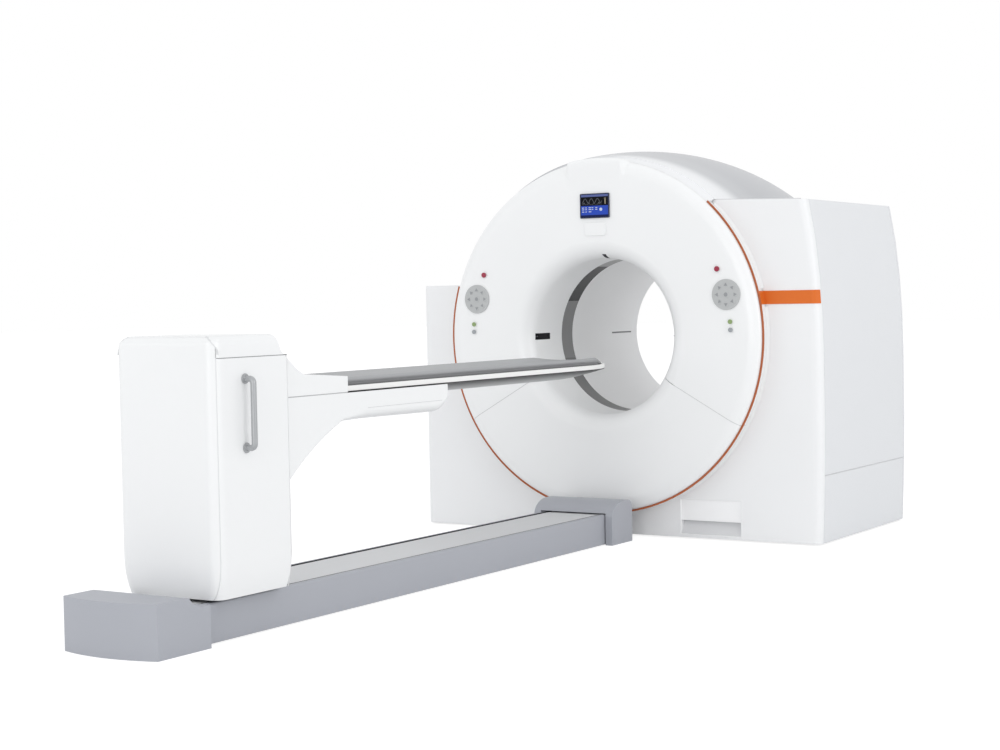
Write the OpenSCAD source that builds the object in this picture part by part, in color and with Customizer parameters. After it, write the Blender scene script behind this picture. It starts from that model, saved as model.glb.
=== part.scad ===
// Hybrid whole-body scanner: X-ray rotor and photon-detector ring in one
// gantry, served by a patient table that travels on a floor-mounted base.
// Frame: +X to the right as seen from the table, +Y along the bore into the
// gantry, +Z up. The origin is on the floor, below the bore axis, in the
// plane of the cabinets' fronts.

/* [Bore] */
// Radius of the patient bore
bore_r = 390; // [340:1:430]
// Height of the bore axis above the floor
axis_z = 1000; // [950:1:1080]
// Wall of the moulded covers
cover_t = 6; // [4:0.5:9]
// Wall of the tunnel liner and of the scan window
liner_t = 5; // [3:0.5:8]
// Where the front cover's throat ends and the scan window starts
window_y = 216; // [150:1:240]
// Width of the scan window along the bore
window_w = 111; // [80:1:130]
// Open joint between neighbouring covers
seam = 3; // [1:0.5:6]

/* [Front cover] */
// Radius of the round front cover
disc_r = 875; // [840:1:900]
// How far the cover's face stands in front of the cabinets
face_y = 100; // [85:1:140]
// Radial depth of the rounded outer edge
edge_r = 76; // [40:1:110]
// How far the rim stands in front of the cabinets
rim_y = 62; // [45:1:75]
// Radial depth of the rounded lip round the bore
lip_r = 90; // [50:1:130]
// Depth of the lip along the bore
lip_d = 95; // [50:1:130]
// Angle of the split between upper and lower cover, below horizontal
split_deg = 29.5; // [20:0.5:45]
// Radial width of the accent ring
accent_w = 10; // [6:1:16]
// Width of the accent ring along the bore
accent_d = 6; // [4:1:12]

/* [Cabinets] */
// Half width of the right cabinet at its widest
right_w = 1143; // [1100:1:1200]
// Height of the right cabinet at its outer edge
right_h = 1640; // [1500:1:1700]
// Half width of the left cabinet at its widest
left_w = 1114; // [1080:1:1200]
// Height of the left cabinet at its outer edge
left_h = 1272; // [1150:1:1400]
// Depth of the cabinets
cabinet_d = 1145; // [1080:1:1250]
// How far the right cabinet's side draws in at its top
lean_top = 70; // [0:1:90]
// How far the right cabinet's side draws in at the floor
lean_foot = 15; // [0:1:40]
// Radius of the cabinets' upright corners
corner_r = 36; // [15:1:60]
// How far the right cabinet's top falls towards its outer edge
top_fall = 36; // [0:1:50]
// Gap between the covers and the floor
floor_gap = 8; // [4:1:20]
// Radius of the top hood at its front edge
hood_r = 898; // [896:1:925]
// How much further the hood bulges at its middle
hood_bulge = 55; // [10:1:70]
// How much the hood falls from front to rear
hood_fall = 15; // [0:1:15]
// Height of the joint across the right side
side_joint_z = 330; // [200:1:500]
// Centre of the foot vent from the bore axis
vent_x = 559; // [540:1:650]
// Width of the foot vent
vent_w = 330; // [200:1:360]
// Height of the foot vent's lower edge
vent_foot = 22; // [14:1:60]
// Height of the foot vent's top
vent_top = 198; // [150:1:200]

/* [Controls] */
// Distance of the keypads from the bore's centre plane
keypad_x = 707; // [660:1:720]
// Height of the keypads above the bore axis
keypad_z = 197; // [150:1:250]
// Radius of a keypad
keypad_r = 74; // [60:1:80]
// Radius of the stop buttons
stop_r = 13; // [9:0.5:18]
// Radius of the start and move buttons
button_r = 11; // [8:0.5:16]
// How far a button stands out
button_out = 8; // [6:0.5:12]
// Width of the display
display_w = 154; // [140:1:220]
// Height of the display
display_h = 112; // [100:1:170]
// Height of the display's centre above the bore axis
display_z = 649; // [620:1:680]

/* [Rotor] */
// Radius of the rotating plate
rotor_r = 800; // [720:1:815]
// Inner radius of the rotor's hub
hub_r = 425; // [410:1:440]
// Outer radius of the main bearing's inner race
race_r = 452; // [446:1:470]
// Radial running clearance of the main bearing
race_fit = 0.08; // [0.02:0.01:0.10]
// Outer radius of the main bearing's outer race
race_out_r = 480; // [470:1:500]
// Distance of the tube's focal spot from the bore axis
focus_r = 640; // [600:1:680]
// Radius of the detector arc about the focal spot
detector_r = 1080; // [1060:1:1110]

/* [Photon ring] */
// Detector blocks round the ring
pet_blocks = 38; // [24:1:48]
// Length of the detector ring along the bore
pet_l = 260; // [160:1:280]
// Inner radius of the detector ring
pet_r = 410; // [405:1:420]

/* [Table base] */
// Half width of the base between its end caps
base_w = 176; // [160:1:200]
// Height of the base between its end caps
base_h = 148; // [130:1:170]
// Half width of the end caps
cap_w = 218; // [205:1:240]
// Height of the far end cap
cap_h = 194; // [180:1:215]
// Height of the near end cap
near_h = 206; // [190:1:225]
// Far end of the table base from the cabinets' fronts
base_far = 3544; // [3500:1:3700]
// How far the far cap's end bulges
cap_bulge = 36; // [10:1:60]
// Distance of the base's near end from the cabinets' fronts
base_near = 172; // [160:1:200]
// Width of the slots that the carriage reaches through
slot_w = 14; // [10:1:20]
// Half width of the cover belt between the slots
belt_w = 138; // [120:1:140]
// Spacing of the guide rails
rail_gap = 180; // [150:1:190]
// Size of the floor anchor holes' radius
anchor_r = 9; // [6:0.5:12]

/* [Pedestal] */
// Half width of the pedestal
ped_w = 236; // [222:1:260]
// Far face of the pedestal from the cabinets' fronts
ped_far = 3247; // [3210:1:3270]
// Depth of the pedestal
ped_d = 415; // [390:1:440]
// Height of the pedestal
ped_h = 1087; // [1060:1:1130]
// Gap between the base and the pedestal's foot
ped_gap = 10; // [6:1:16]
// Radius of the pedestal's upright corners away from the gantry
ped_corner = 45; // [20:1:70]
// Radius of the pedestal's upright corners beside the arm
ped_edge = 14; // [10:1:30]
// Height of the top cap above its joint
cap_joint = 77; // [47:1:107]
// Slope of the pedestal's front top corner along Y
ped_slope = 70; // [40:1:90]
// Length of a handle between its feet
handle_l = 246; // [200:1:300]
// How far a handle stands out
handle_out = 50; // [42:1:60]
// Height of the handle's middle
handle_z = 809; // [700:1:900]
// How far the pedestal's foot tucks in
ped_tuck = 16; // [0:1:40]

/* [Arm and pallet] */
// Half width of the arm
arm_w = 216; // [212:1:220]
// Height of the arm's top edge
arm_z = 848; // [830:1:860]
// Depth of the arm at its free end
arm_drop = 113; // [100:1:118]
// Free end of the arm from the cabinets' fronts
arm_end = 1764; // [1700:1:1900]
// Front of the arm's head from the cabinets' fronts
head_end = 2450; // [2400:1:2500]
// Height of the head's side walls
head_z = 912; // [905:1:925]
// Height of the head's shoulder at the pedestal
shoulder_z = 1005; // [980:1:1020]
// Half width of the pallet
pallet_w = 208; // [195:1:212]
// Height of the pallet's rim
pallet_z = 874; // [870:1:880]
// Height of the pallet's edge band
pallet_edge = 23; // [16:1:26]
// Depth of the pallet's belly below its edge band
pallet_belly = 46; // [30:1:50]
// Tip of the pallet from the cabinets' fronts
tip_y = 180; // [165:1:200]
// Length of the pallet's rounded nose
nose_l = 400; // [340:1:450]
// Thickness of the mattress over the pallet's rim
mat_t = 29; // [20:1:32]
// Wall of the pallet
pallet_t = 11; // [8:1:16]

/* [Hidden] */

// Faces on a full turn of a large ring, and of a small round part
fine = 144;
round_fn = 40;

white = [0.94, 0.945, 0.945];
side_white = [0.89, 0.90, 0.91];
hood_grey = [0.83, 0.84, 0.85];
base_grey = [0.64, 0.66, 0.69];
belt_grey = [0.80, 0.81, 0.82];
steel = [0.55, 0.56, 0.58];
dark = [0.16, 0.17, 0.18];
orange = [0.79, 0.38, 0.14];
pallet_grey = [0.62, 0.63, 0.65];

// Cover wall, measured from outside to inside, of the thinner table covers
table_t = 5;
// Gap between neighbouring solids that don't touch
gap = 0.5;
// Reach of a cut that goes right out of the scanner
big = 3 * axis_z;

// Where the tunnel liner ends, and the two faces of the rear cover
rear_lip_y = cabinet_d - 95;
rear_face_y = cabinet_d + 62;
liner_y = window_y + window_w;
// Joint of the hood with the cabinets' tops
function top_right(x) = right_h + top_fall * (1 - x / right_x(right_h));

// Half width of the right cabinet at height z
wide_z = 0.396 * right_h;
function right_x(z) = z < wide_z
  ? right_w - lean_foot * pow((wide_z - z) / wide_z, 2)
  : right_w - lean_top * pow((z - wide_z) / (right_h - wide_z), 3);

function add(v, d) = [v[0] + d, v[1] + d];
function about(c, w) = [c - w, c + w];

function arc(cx, cy, rx, ry, a0, a1, n) =
  [for (i = [0:n]) let (a = a0 + (a1 - a0) * i / n)
    [cx + rx * cos(a), cy + ry * sin(a)]];

function rounded(x0, x1, y0, y1, r, n = 6) = concat(
  arc(x1 - r, y1 - r, r, r, 0, 90, n),
  arc(x0 + r, y1 - r, r, r, 90, 180, n),
  arc(x0 + r, y0 + r, r, r, 180, 270, n),
  arc(x1 - r, y0 + r, r, r, 270, 360, n));

// A solid through a list of rings of equal length, each counter-clockwise
// as seen from beyond the last ring
module loft(rings) {
  n = len(rings[0]);
  last = len(rings) - 1;
  polyhedron(
    points = [for (ring = rings) for (p = ring) p],
    faces = concat(
      [[for (i = [0:n - 1]) i]],
      [for (k = [0:last - 1]) for (i = [0:n - 1])
        let (j = (i + 1) % n, a = k * n, b = (k + 1) * n)
        each [[a + i, b + i, b + j], [a + i, b + j, a + j]]],
      [[for (i = [n - 1:-1:0]) last * n + i]]));
}

// Local Z runs along the bore from the plane y, round the bore axis
module along_bore(y) translate([0, y, axis_z]) rotate([-90, 0, 0]) children();

// A flat drawn in X and Z, pulled along +Y from y0
module pull_y(y0, l) translate([0, y0 + l, 0]) rotate([90, 0, 0])
  linear_extrude(height = l) children();

// A flat drawn in Y and Z, pulled along +X from x0
module pull_x(x0, l) translate([x0, 0, 0]) rotate([90, 0, 90])
  linear_extrude(height = l) children();

module box(x, y, z) translate([x[0], y[0], z[0]])
  cube([x[1] - x[0], y[1] - y[0], z[1] - z[0]]);

module ring_y(y0, y1, r_out, r_in, fn = fine) along_bore(y0) difference() {
  cylinder(h = y1 - y0, r = r_out, $fn = fn);
  translate([0, 0, -1]) cylinder(h = y1 - y0 + 2, r = r_in, $fn = fn);
}

module rod_y(x, z, y0, y1, r, fn = round_fn) translate([x, y0, z])
  rotate([-90, 0, 0]) cylinder(h = y1 - y0, r = r, $fn = fn);

module rod_x(x0, x1, y, z, r, fn = round_fn) translate([x0, y, z])
  rotate([0, 90, 0]) cylinder(h = x1 - x0, r = r, $fn = fn);

module both_sides() {
  children();
  mirror([1, 0, 0]) children();
}

// ---------------------------------------------------------------- gantry

// Plan of the frame and the places of its four floor anchors
frame_x = [134 - left_w, right_w - 163];
frame_y = [80, cabinet_d - 83];
frame_h = 60;
beam_w = 120;
tongue_w = 200;
anchor_x = [frame_x[0] + beam_w / 2, frame_x[1] - beam_w / 2];
frame_mid = (frame_y[0] + frame_y[1]) / 2;
anchor_y = frame_y[1] - frame_mid - 70;

module gantry_base_frame() color(steel) difference() {
  union() {
    for (x = anchor_x) box(about(x, beam_w / 2), frame_y, [0, frame_h]);
    for (y = [frame_y[0], frame_mid - beam_w / 2, frame_y[1] - beam_w])
      box([frame_x[0] + 1, frame_x[1] - 1], [y, y + beam_w], [0, frame_h]);
    box(about(0, tongue_w / 2), [-40, frame_y[0] + 1], [0, floor_gap - 1]);
  }
  for (x = anchor_x, y = [-anchor_y, anchor_y])
    translate([x, frame_mid + y, -1])
      cylinder(h = frame_h + 2, r = anchor_r, $fn = round_fn);
}

// The bearing and the plates that hold it, along the bore
plate_y = window_y + window_w + 25;
plate_t = 24;
stator_y = plate_y + plate_t + 20;
stator_t = 40;
stator_r = rotor_r + 20;
leg_x = [0.53 * stator_r, 0.85 * stator_r];

module ct_stator_frame() color(steel) difference() {
  union() {
    along_bore(stator_y) cylinder(h = stator_t, r = stator_r, $fn = fine);
    both_sides() box(leg_x, [stator_y, stator_y + stator_t],
      [frame_h, axis_z - leg_x[0]]);
    both_sides() box(leg_x, [stator_y - 60, stator_y + stator_t + 60],
      [frame_h, frame_h + 30]);
  }
  along_bore(stator_y - 1)
    cylinder(h = stator_t + 2, r = race_out_r, $fn = fine);
}

module bearing_outer_race() color(steel)
  ring_y(stator_y, stator_y + stator_t, race_out_r - 0.05, race_r);

// The photon detector ring and its housing
pet_y = stator_y + stator_t + 150;
pet_plate = 12;
shield_t = 18;
block_d = 60;
pet_house_r = stator_r - 120;

module pet_frame() color(steel) {
  difference() {
    union() {
      ring_y(pet_y, pet_y + pet_plate, pet_house_r, pet_r - 12);
      ring_y(pet_y + 1, pet_y + pet_l + 2 * (pet_plate + shield_t) - 1,
        pet_house_r, pet_house_r - 12);
      ring_y(pet_y + pet_l + 2 * shield_t + pet_plate,
        pet_y + pet_l + 2 * (shield_t + pet_plate), pet_house_r, pet_r - 12);
      both_sides() box([leg_x[0], leg_x[0] + 160],
        [pet_y, pet_y + pet_plate + 20], [frame_h, axis_z - leg_x[0] - 50]);
    }
    along_bore(pet_y + 3 + pet_plate)
      cylinder(h = pet_l + 2 * shield_t - 6, r = pet_house_r - 12.5, $fn = fine);
  }
}

module pet_detectors() color([0.72, 0.68, 0.5])
  for (i = [0:pet_blocks - 1]) {
    pitch = 360 / pet_blocks;
    block_w = 2 * pet_r * tan(pitch / 2) - 4;
    along_bore(pet_y + pet_plate + shield_t + 1) rotate([0, 0, i * pitch])
      translate([pet_r, -block_w / 2, 0]) cube([block_d, block_w, pet_l - 2]);
  }

module pet_shields() color(dark)
  for (y = [pet_y + pet_plate, pet_y + pet_plate + shield_t + pet_l])
    ring_y(y + gap, y + shield_t - gap, pet_r + 170, pet_r - 12);

rack_x = [right_w - 253, right_w - 93];
rack_h = right_h - 340;
module electronics_rack() color(dark) {
  box(rack_x, [frame_y[0] + 70, frame_y[1] - 80], [frame_h + gap, rack_h]);
  pitch = (rack_h - frame_h) / 7;
  for (i = [0:6]) box([rack_x[0] - 10, rack_x[0] + gap],
    [frame_y[0] + 90, frame_y[1] - 100],
    [frame_h + (i + 0.2) * pitch, frame_h + (i + 0.85) * pitch]);
}

cooler_x = [-left_w + 94, -left_w + 224];
cooler_h = left_h - 292;
fan_r = 130;
module cooling_unit() color(steel) {
  box(cooler_x, [frame_y[0] + 120, frame_y[1] - 120], [frame_h + gap, cooler_h]);
  for (y = [-fan_r - 30, fan_r + 30])
    rod_x(cooler_x[1], cooler_x[1] + 10, frame_mid + y, cooler_h - fan_r - 90, fan_r);
}

// Slots in the liner's walls for the laser lines
slot_y = [rear_lip_y - 288, rear_lip_y - 65];
slot_d = 3;

module bore_liner() color([0.8, 0.81, 0.82]) difference() {
  ring_y(liner_y, rear_lip_y, bore_r + liner_t, bore_r);
  both_sides() box([bore_r - 10, bore_r + slot_d], slot_y,
    [axis_z - 4, axis_z + 4]);
}

module scan_window() color([0.25, 0.26, 0.27])
  ring_y(window_y + gap, liner_y - gap, bore_r + liner_t, bore_r);

// Outline of the front cover from its rim round to its throat, and back
// along the inside: radius against distance along the bore
cover_back = -3;
function cover_line(t) = concat(
  arc(disc_r - edge_r, -rim_y, edge_r - t, face_y - rim_y - t, 0, -90, 12),
  arc(bore_r + lip_r, lip_d - face_y, lip_r - t, lip_d - t, -90, -180, 14));
function reversed(list) = [for (i = [len(list) - 1:-1:0]) list[i]];

module front_cover_shell() along_bore(0) rotate_extrude($fn = fine)
  polygon(concat(
    [[disc_r, cover_back]], cover_line(0), [[bore_r, window_y]],
    [[bore_r + cover_t, window_y]], reversed(cover_line(cover_t)),
    [[disc_r - cover_t, cover_back]]));

// Everything below the radial split, lowered by d
module below_split(d) translate([0, 0, axis_z - d / cos(split_deg)])
  pull_y(-big, 2 * big) polygon([[0, 0], [big, -big * tan(split_deg)],
    [0, -2 * big], [-big, -big * tan(split_deg)]]);

// Angle, half width and ends of the three laser windows in the lip and throat
laser_places = [[0, 16, -40, 96], [-86.5, 10, -64, 16], [180, 16, -40, 96]];
module laser_blocks(w) for (k = laser_places)
  translate([0, 0, axis_z]) rotate([0, k[0], 0])
    box([bore_r - 20, bore_r + 60], [k[2] - w, k[3] + w], about(0, k[1] + w));

// Places of the controls on the cover's face
face_at = -face_y;
stop_at = [661, 320];
start_at = [727, 67];
move_at = [728, 28];
stem_r = 6;
stem_fit = 0.5;
stem_l = 22;

module stem_holes() both_sides() for (p = [stop_at, start_at, move_at])
  rod_y(p[0], axis_z + p[1], face_at - 2, face_at + cover_t + 2,
    stem_r + stem_fit);

// The covers end on the lip; the throat behind them is a ring of its own
throat_y = -40;
module throat_zone(y) along_bore(y)
  cylinder(h = window_y - y + 1, r = bore_r + lip_r, $fn = fine);

module front_throat() color(white) difference() {
  intersection() {
    front_cover_shell();
    throat_zone(throat_y + gap);
  }
  laser_blocks(gap);
}

module front_cover_upper() color(white) difference() {
  front_cover_shell();
  throat_zone(throat_y);
  below_split(0);
  laser_blocks(gap);
  stem_holes();
}

module front_cover_lower() color(white) difference() {
  intersection() {
    front_cover_shell();
    below_split(seam);
  }
  throat_zone(throat_y);
}

module laser_windows() color(dark) intersection() {
  front_cover_shell();
  laser_blocks(0);
}

// The raised field at the top of the front cover
crown_deg = 12;
crown_d = 8;
module front_crown() color(white) difference() {
  intersection() {
    along_bore(0) rotate_extrude($fn = fine) polygon(concat(
      [[disc_r + 11, -14]],
      arc(disc_r - 9, -face_y + 14, 20, 14 + crown_d, 0, -90, 5),
      [[disc_r - 60, -face_y - crown_d], [disc_r - edge_r - 60, -face_y - 1],
      [disc_r - edge_r - 60, -14]]));
    pull_y(-big, 2 * big) polygon([[0, axis_z],
      [big * sin(crown_deg), axis_z + big * cos(crown_deg)],
      [-big * sin(crown_deg), axis_z + big * cos(crown_deg)]]);
  }
  along_bore(0) rotate_extrude($fn = fine) polygon(concat(
    [[0, 0], [disc_r + gap, 0]], arc(disc_r - edge_r, -rim_y,
      edge_r + gap, face_y - rim_y + gap, 0, -90, 12), [[0, -face_y - gap]]));
}

// The rear mouth flares out to the rear cover, whose rim is flatter than the
// front's
flare_arc = [88, 60];
flare_r = bore_r + 62 + flare_arc[0];
module rear_mouth() color(white) along_bore(0) rotate_extrude($fn = fine)
  polygon(concat(
    [[bore_r, rear_lip_y + gap]],
    arc(flare_r, rear_face_y - flare_arc[1], flare_arc[0], flare_arc[1],
      180, 90, 8),
    arc(flare_r, rear_face_y - flare_arc[1], flare_arc[0] - cover_t,
      flare_arc[1] - cover_t, 90, 180, 8),
    [[bore_r + 1.2 * cover_t, rear_lip_y + gap]]));

rear_rim_y = cabinet_d + 25;
module rear_cover() color(white) along_bore(0) rotate_extrude($fn = fine)
  polygon(concat(
    [[flare_r + gap, rear_face_y]],
    arc(disc_r - edge_r, rear_rim_y, edge_r, rear_face_y - rear_rim_y,
      90, 0, 12),
    [[disc_r, cabinet_d + 3], [disc_r - cover_t, cabinet_d + 3]],
    arc(disc_r - edge_r, rear_rim_y, edge_r - cover_t,
      rear_face_y - rear_rim_y - cover_t, 0, 90, 12),
    [[flare_r + gap, rear_face_y - cover_t]]));

// Half outline of the hood's barrel: radius against distance along the bore
hood_y = [-8, cabinet_d];
function hood_line(t) = [for (i = [0:20]) let (u = i / 20)
  [hood_r + hood_bulge * (1 - pow(2 * u - 1, 2)) - hood_fall * u - t,
    hood_y[0] + t + (hood_y[1] - hood_y[0] - 2 * t) * u]];

module top_hood() color(hood_grey) intersection() {
  along_bore(0) rotate_extrude($fn = fine) polygon(concat(
    [[disc_r + 3, hood_y[0]]], hood_line(0), [[disc_r + 3, hood_y[1]]],
    [[disc_r + 3, hood_y[1] - cover_t]], reversed(hood_line(cover_t)),
    [[disc_r + 3, hood_y[0] + cover_t]]));
  pull_y(-50, cabinet_d + 100) polygon([
    [right_w, top_right(right_w) + seam], [right_w, big], [-big, big],
    [-big, left_h + seam], [0, left_h + seam], [0, top_right(0) + seam]]);
}

// Ring of a cabinet whose half width is w at height z, drawn in by t; the
// right one's top falls to its outer edge
function cabinet_ring(w, z, top, fall, t) =
  let (x = w - t, r = corner_r - t,
    plan = concat([[0, t]], arc(x - r, t + r, r, r, -90, 0, 6),
      arc(x - r, cabinet_d - t - r, r, r, 0, 90, 6), [[0, cabinet_d - t]]))
  [for (p = plan) [p[0], p[1], top ? z + fall * (1 - p[0] / x) : z]];

function levels(z0, z1) = [for (i = [0:9]) z0 + (z1 - z0) * i / 9];

module right_shell() difference() {
  loft([for (z = levels(floor_gap, right_h))
    cabinet_ring(right_x(z), z, z == right_h, top_fall, 0)]);
  loft([for (z = levels(-20, right_h - cover_t))
    cabinet_ring(right_x(z), z, z == right_h - cover_t, top_fall, cover_t)]);
}

module left_shell() mirror([1, 0, 0]) difference() {
  loft([for (z = [floor_gap, left_h]) cabinet_ring(left_w, z, false, 0, 0)]);
  loft([for (z = [-20, left_h - cover_t]) cabinet_ring(left_w, z, false, 0, cover_t)]);
}

// The front panels wrap round their corners as far as wrap_y
wrap_y = corner_r + 6;
hole_r = disc_r - 8;
module vent_hole(w) box([vent_x - vent_w / 2 - w, vent_x + vent_w / 2 + w],
  [-20, 60], [vent_foot - w, vent_top + w]);

module front_panel_right() color(white) difference() {
  intersection() {
    right_shell();
    box([seam / 2, big], [-1, wrap_y], [0, big]);
  }
  along_bore(-10) cylinder(h = 200, r = hole_r, $fn = fine);
  vent_hole(gap);
}

module front_panel_left() color(white) difference() {
  intersection() {
    left_shell();
    box([-big, -seam / 2], [-1, wrap_y], [0, big]);
  }
  along_bore(-10) cylinder(h = 200, r = hole_r, $fn = fine);
}

side_y = [wrap_y + seam, cabinet_d - wrap_y - seam];
module side_panels() color(side_white) {
  intersection() {
    right_shell();
    box([disc_r - 295, big], side_y, [side_joint_z + seam, big]);
  }
  intersection() {
    right_shell();
    box([disc_r - 295, big], side_y, [0, side_joint_z]);
  }
  intersection() {
    left_shell();
    box([-big, -disc_r - 5], side_y, [0, big]);
  }
}

module rear_panels() color(side_white) difference() {
  union() {
    intersection() {
      right_shell();
      box([seam / 2, big], [cabinet_d - wrap_y, cabinet_d + 1], [0, big]);
    }
    intersection() {
      left_shell();
      box([-big, -seam / 2], [cabinet_d - wrap_y, cabinet_d + 1], [0, big]);
    }
  }
  along_bore(cabinet_d - 100) cylinder(h = 200, r = hole_r, $fn = fine);
}

// The ring ends where the hood meets the cover, and its bar runs back over the
// rim and along the right panel
ring_from = 180 - asin((left_h - axis_z) / disc_r) + 0.6;
ring_to = 360 + asin((right_h + 12 - axis_z) / disc_r) - 0.8;
bar_z = [147, 211];
bar_t = 3;
module accent_trim() color(orange) {
  intersection() {
    ring_y(-rim_y - accent_d, -rim_y, disc_r + accent_w, disc_r + gap);
    pull_y(-100, 200) polygon(concat([[0, axis_z]],
      [for (a = [ring_from:(ring_to - ring_from) / 24:ring_to + 0.1])
        [big * cos(a), axis_z + big * sin(a)]]));
  }
  difference() {
    intersection() {
      loft([for (z = [axis_z + bar_z[0], axis_z + bar_z[1]])
        cabinet_ring(right_x(z), z, false, 0, -bar_t)]);
      box([disc_r / 2, big], [-10, wrap_y - 14], [0, big]);
    }
    loft([for (z = levels(0, right_h))
      cabinet_ring(right_x(z), z, false, 0, -gap)]);
    along_bore(-60) cylinder(h = 200, r = disc_r + gap, $fn = fine);
  }
  intersection() {
    ring_y(-rim_y - 1, -1, disc_r + gap + bar_t, disc_r + gap);
    box([0, big], [-rim_y - 2, 0], add(bar_z, axis_z));
  }
}

// The display stands on the cover's face
bezel = 5;
bezel_d = 9;
module display_bezel() color([0.2, 0.22, 0.26]) difference() {
  pull_y(face_at - bezel_d, bezel_d - gap) polygon(rounded(
    -display_w / 2 - bezel, display_w / 2 + bezel,
    axis_z + display_z - display_h / 2 - bezel,
    axis_z + display_z + display_h / 2 + bezel, bezel));
  box([-display_w / 2, display_w / 2], [face_at - 20, face_at - 3],
    about(axis_z + display_z, display_h / 2));
}

module display_screen() color([0.1, 0.15, 0.45])
  box([-display_w / 2 + gap, display_w / 2 - gap],
    [face_at - bezel_d + 2, face_at - 3 - gap],
    about(axis_z + display_z, display_h / 2 - gap));

lens_z = [500, 566];
module status_lens() color(white)
  pull_y(face_at - 6, 6 - gap) polygon(rounded(-60, 60,
    axis_z + lens_z[0], axis_z + lens_z[1], 14));

// A round membrane pad with a ring of raised keys
key_ring_r = 50;
module keypad() {
  cylinder(h = 5, r = keypad_r, $fn = fine / 2);
  for (i = [0:7]) rotate([0, 0, i * 45]) translate([key_ring_r, 0, 5 - gap])
    cylinder(h = 2 + gap, r = 11, $fn = round_fn);
  translate([0, 0, 5 - gap]) cylinder(h = 2 + gap, r = 16, $fn = round_fn);
}

module keypads() color([0.72, 0.73, 0.74]) both_sides()
  translate([keypad_x, face_at - gap, axis_z + keypad_z])
    rotate([90, 0, 0]) keypad();

// A button's head in front of the cover and its stem through it
module button(p, r) {
  rod_y(p[0], axis_z + p[1], face_at - button_out, face_at - button_out + 4, r);
  rod_y(p[0], axis_z + p[1], face_at - button_out + 3,
    face_at - button_out + stem_l, stem_r);
}

module stop_button_right() color([0.6, 0.12, 0.18]) button(stop_at, stop_r);
module stop_button_left() mirror([1, 0, 0]) stop_button_right();
module start_button_right() color([0.45, 0.6, 0.35]) button(start_at, button_r);
module start_button_left() mirror([1, 0, 0]) start_button_right();
module move_button_right() color([0.6, 0.62, 0.65]) button(move_at, button_r);
module move_button_left() mirror([1, 0, 0]) move_button_right();

// The tray behind the front panel's low opening
tray_d = 46;
vent_block = [92, 186];
module foot_vent() color(white) {
  difference() {
    vent_hole(0);
    box([0, big], [-21, 1], [0, big]);
    box([0, big], [tray_d, big], [0, big]);
    box([vent_x - vent_w / 2 + 4, vent_x + vent_w / 2 - 4], [0, tray_d - 4],
      [vent_foot + 4, vent_top - 4]);
  }
  box([vent_x - vent_w / 2 + 14, vent_x + vent_w / 2 - 14],
    [6, tray_d - 3], vent_block);
  pull_x(vent_x - vent_w / 2 + 14, vent_w - 28) polygon([
    [4, vent_foot + 3], [tray_d - 3, vent_foot + 3],
    [tray_d - 3, vent_block[0] + 1]]);
}

// ----------------------------------------------------------------- rotor

module rotor_drum() color(steel) {
  difference() {
    along_bore(plate_y) cylinder(h = plate_t, r = rotor_r, $fn = fine);
    along_bore(plate_y - 1) cylinder(h = plate_t + 2, r = hub_r, $fn = fine);
    for (a = [40, 140]) translate([0, 0, axis_z]) rotate([0, -a, 0])
      translate([rotor_r - 180, plate_y - 1, 0]) rotate([-90, 0, 0])
        cylinder(h = plate_t + 2, r = 60, $fn = round_fn);
  }
  ring_y(plate_y + 1, stator_y + stator_t + 60, hub_r + 11, hub_r);
  both_sides() box([rotor_r - 295, rotor_r - 185], [plate_y - 61, plate_y + 1],
    add([unit_z[1] + 100, unit_z[1] + 190], axis_z));
}

module bearing_inner_race() color(steel)
  ring_y(stator_y + 2, stator_y + stator_t - 2, race_r - race_fit,
    hub_r + 11.05);

tube_len = 180;
module xray_tube() color([0.62, 0.63, 0.66]) {
  rod_y(0, axis_z + focus_r + 20, plate_y - tube_len, plate_y - gap, 92, 72);
  box([-130, 130], [plate_y - 120, plate_y - gap],
    add([60, 120], axis_z + focus_r));
}

module collimator() color(dark) difference() {
  box([-70, 70], [window_y + 12, plate_y - gap],
    add([hub_r + 20, focus_r - 75], axis_z));
  box([-45, 45], [window_y + 30, liner_y - 20],
    add([hub_r + 10, focus_r - 70], axis_z));
}

detector_w = 80;
fan_deg = 24.5;
module ct_detector() color([0.3, 0.32, 0.35]) intersection() {
  translate([0, 0, focus_r]) ring_y(plate_y - 25 - detector_w, plate_y - gap,
    detector_r + 60, detector_r);
  pull_y(0, plate_y) polygon([[0, axis_z + focus_r],
    [big * sin(fan_deg), axis_z + focus_r - big * cos(fan_deg)],
    [-big * sin(fan_deg), axis_z + focus_r - big * cos(fan_deg)]]);
}

unit_x = [hub_r + 45, rotor_r - 140];
unit_z = [-210, 240];
module rotor_power_units() color([0.5, 0.52, 0.55]) both_sides()
  box(unit_x, [plate_y - 190, plate_y - gap], add(unit_z, axis_z));

module slip_ring() color([0.72, 0.5, 0.3])
  ring_y(stator_y + stator_t + 8, stator_y + stator_t + 54, hub_r + 95,
    hub_r + 11.05);

// ------------------------------------------------------------ table base

channel_y = [-base_far + 150, -base_near - 160];
channel_t = 12;
wall_x = base_w - 16;
anchor_pitch_x = 270;
anchor_pitch_y = 2700;
channel_mid = (channel_y[0] + channel_y[1]) / 2;

module base_channel() color(steel) difference() {
  union() {
    box([-wall_x, wall_x], channel_y, [0, channel_t]);
    both_sides() box([wall_x - 5, wall_x], channel_y,
      [channel_t - 1, base_h - 24]);
    for (y = [channel_y[0], channel_y[1] - 20])
      box([-belt_w, belt_w], [y, y + 20], [channel_t - 1, base_h - 6]);
  }
  for (x = [-anchor_pitch_x / 2, anchor_pitch_x / 2],
       y = [-anchor_pitch_y / 2, anchor_pitch_y / 2])
    translate([x, channel_mid + y, -1])
      cylinder(h = channel_t + 2, r = anchor_r, $fn = round_fn);
}

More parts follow.
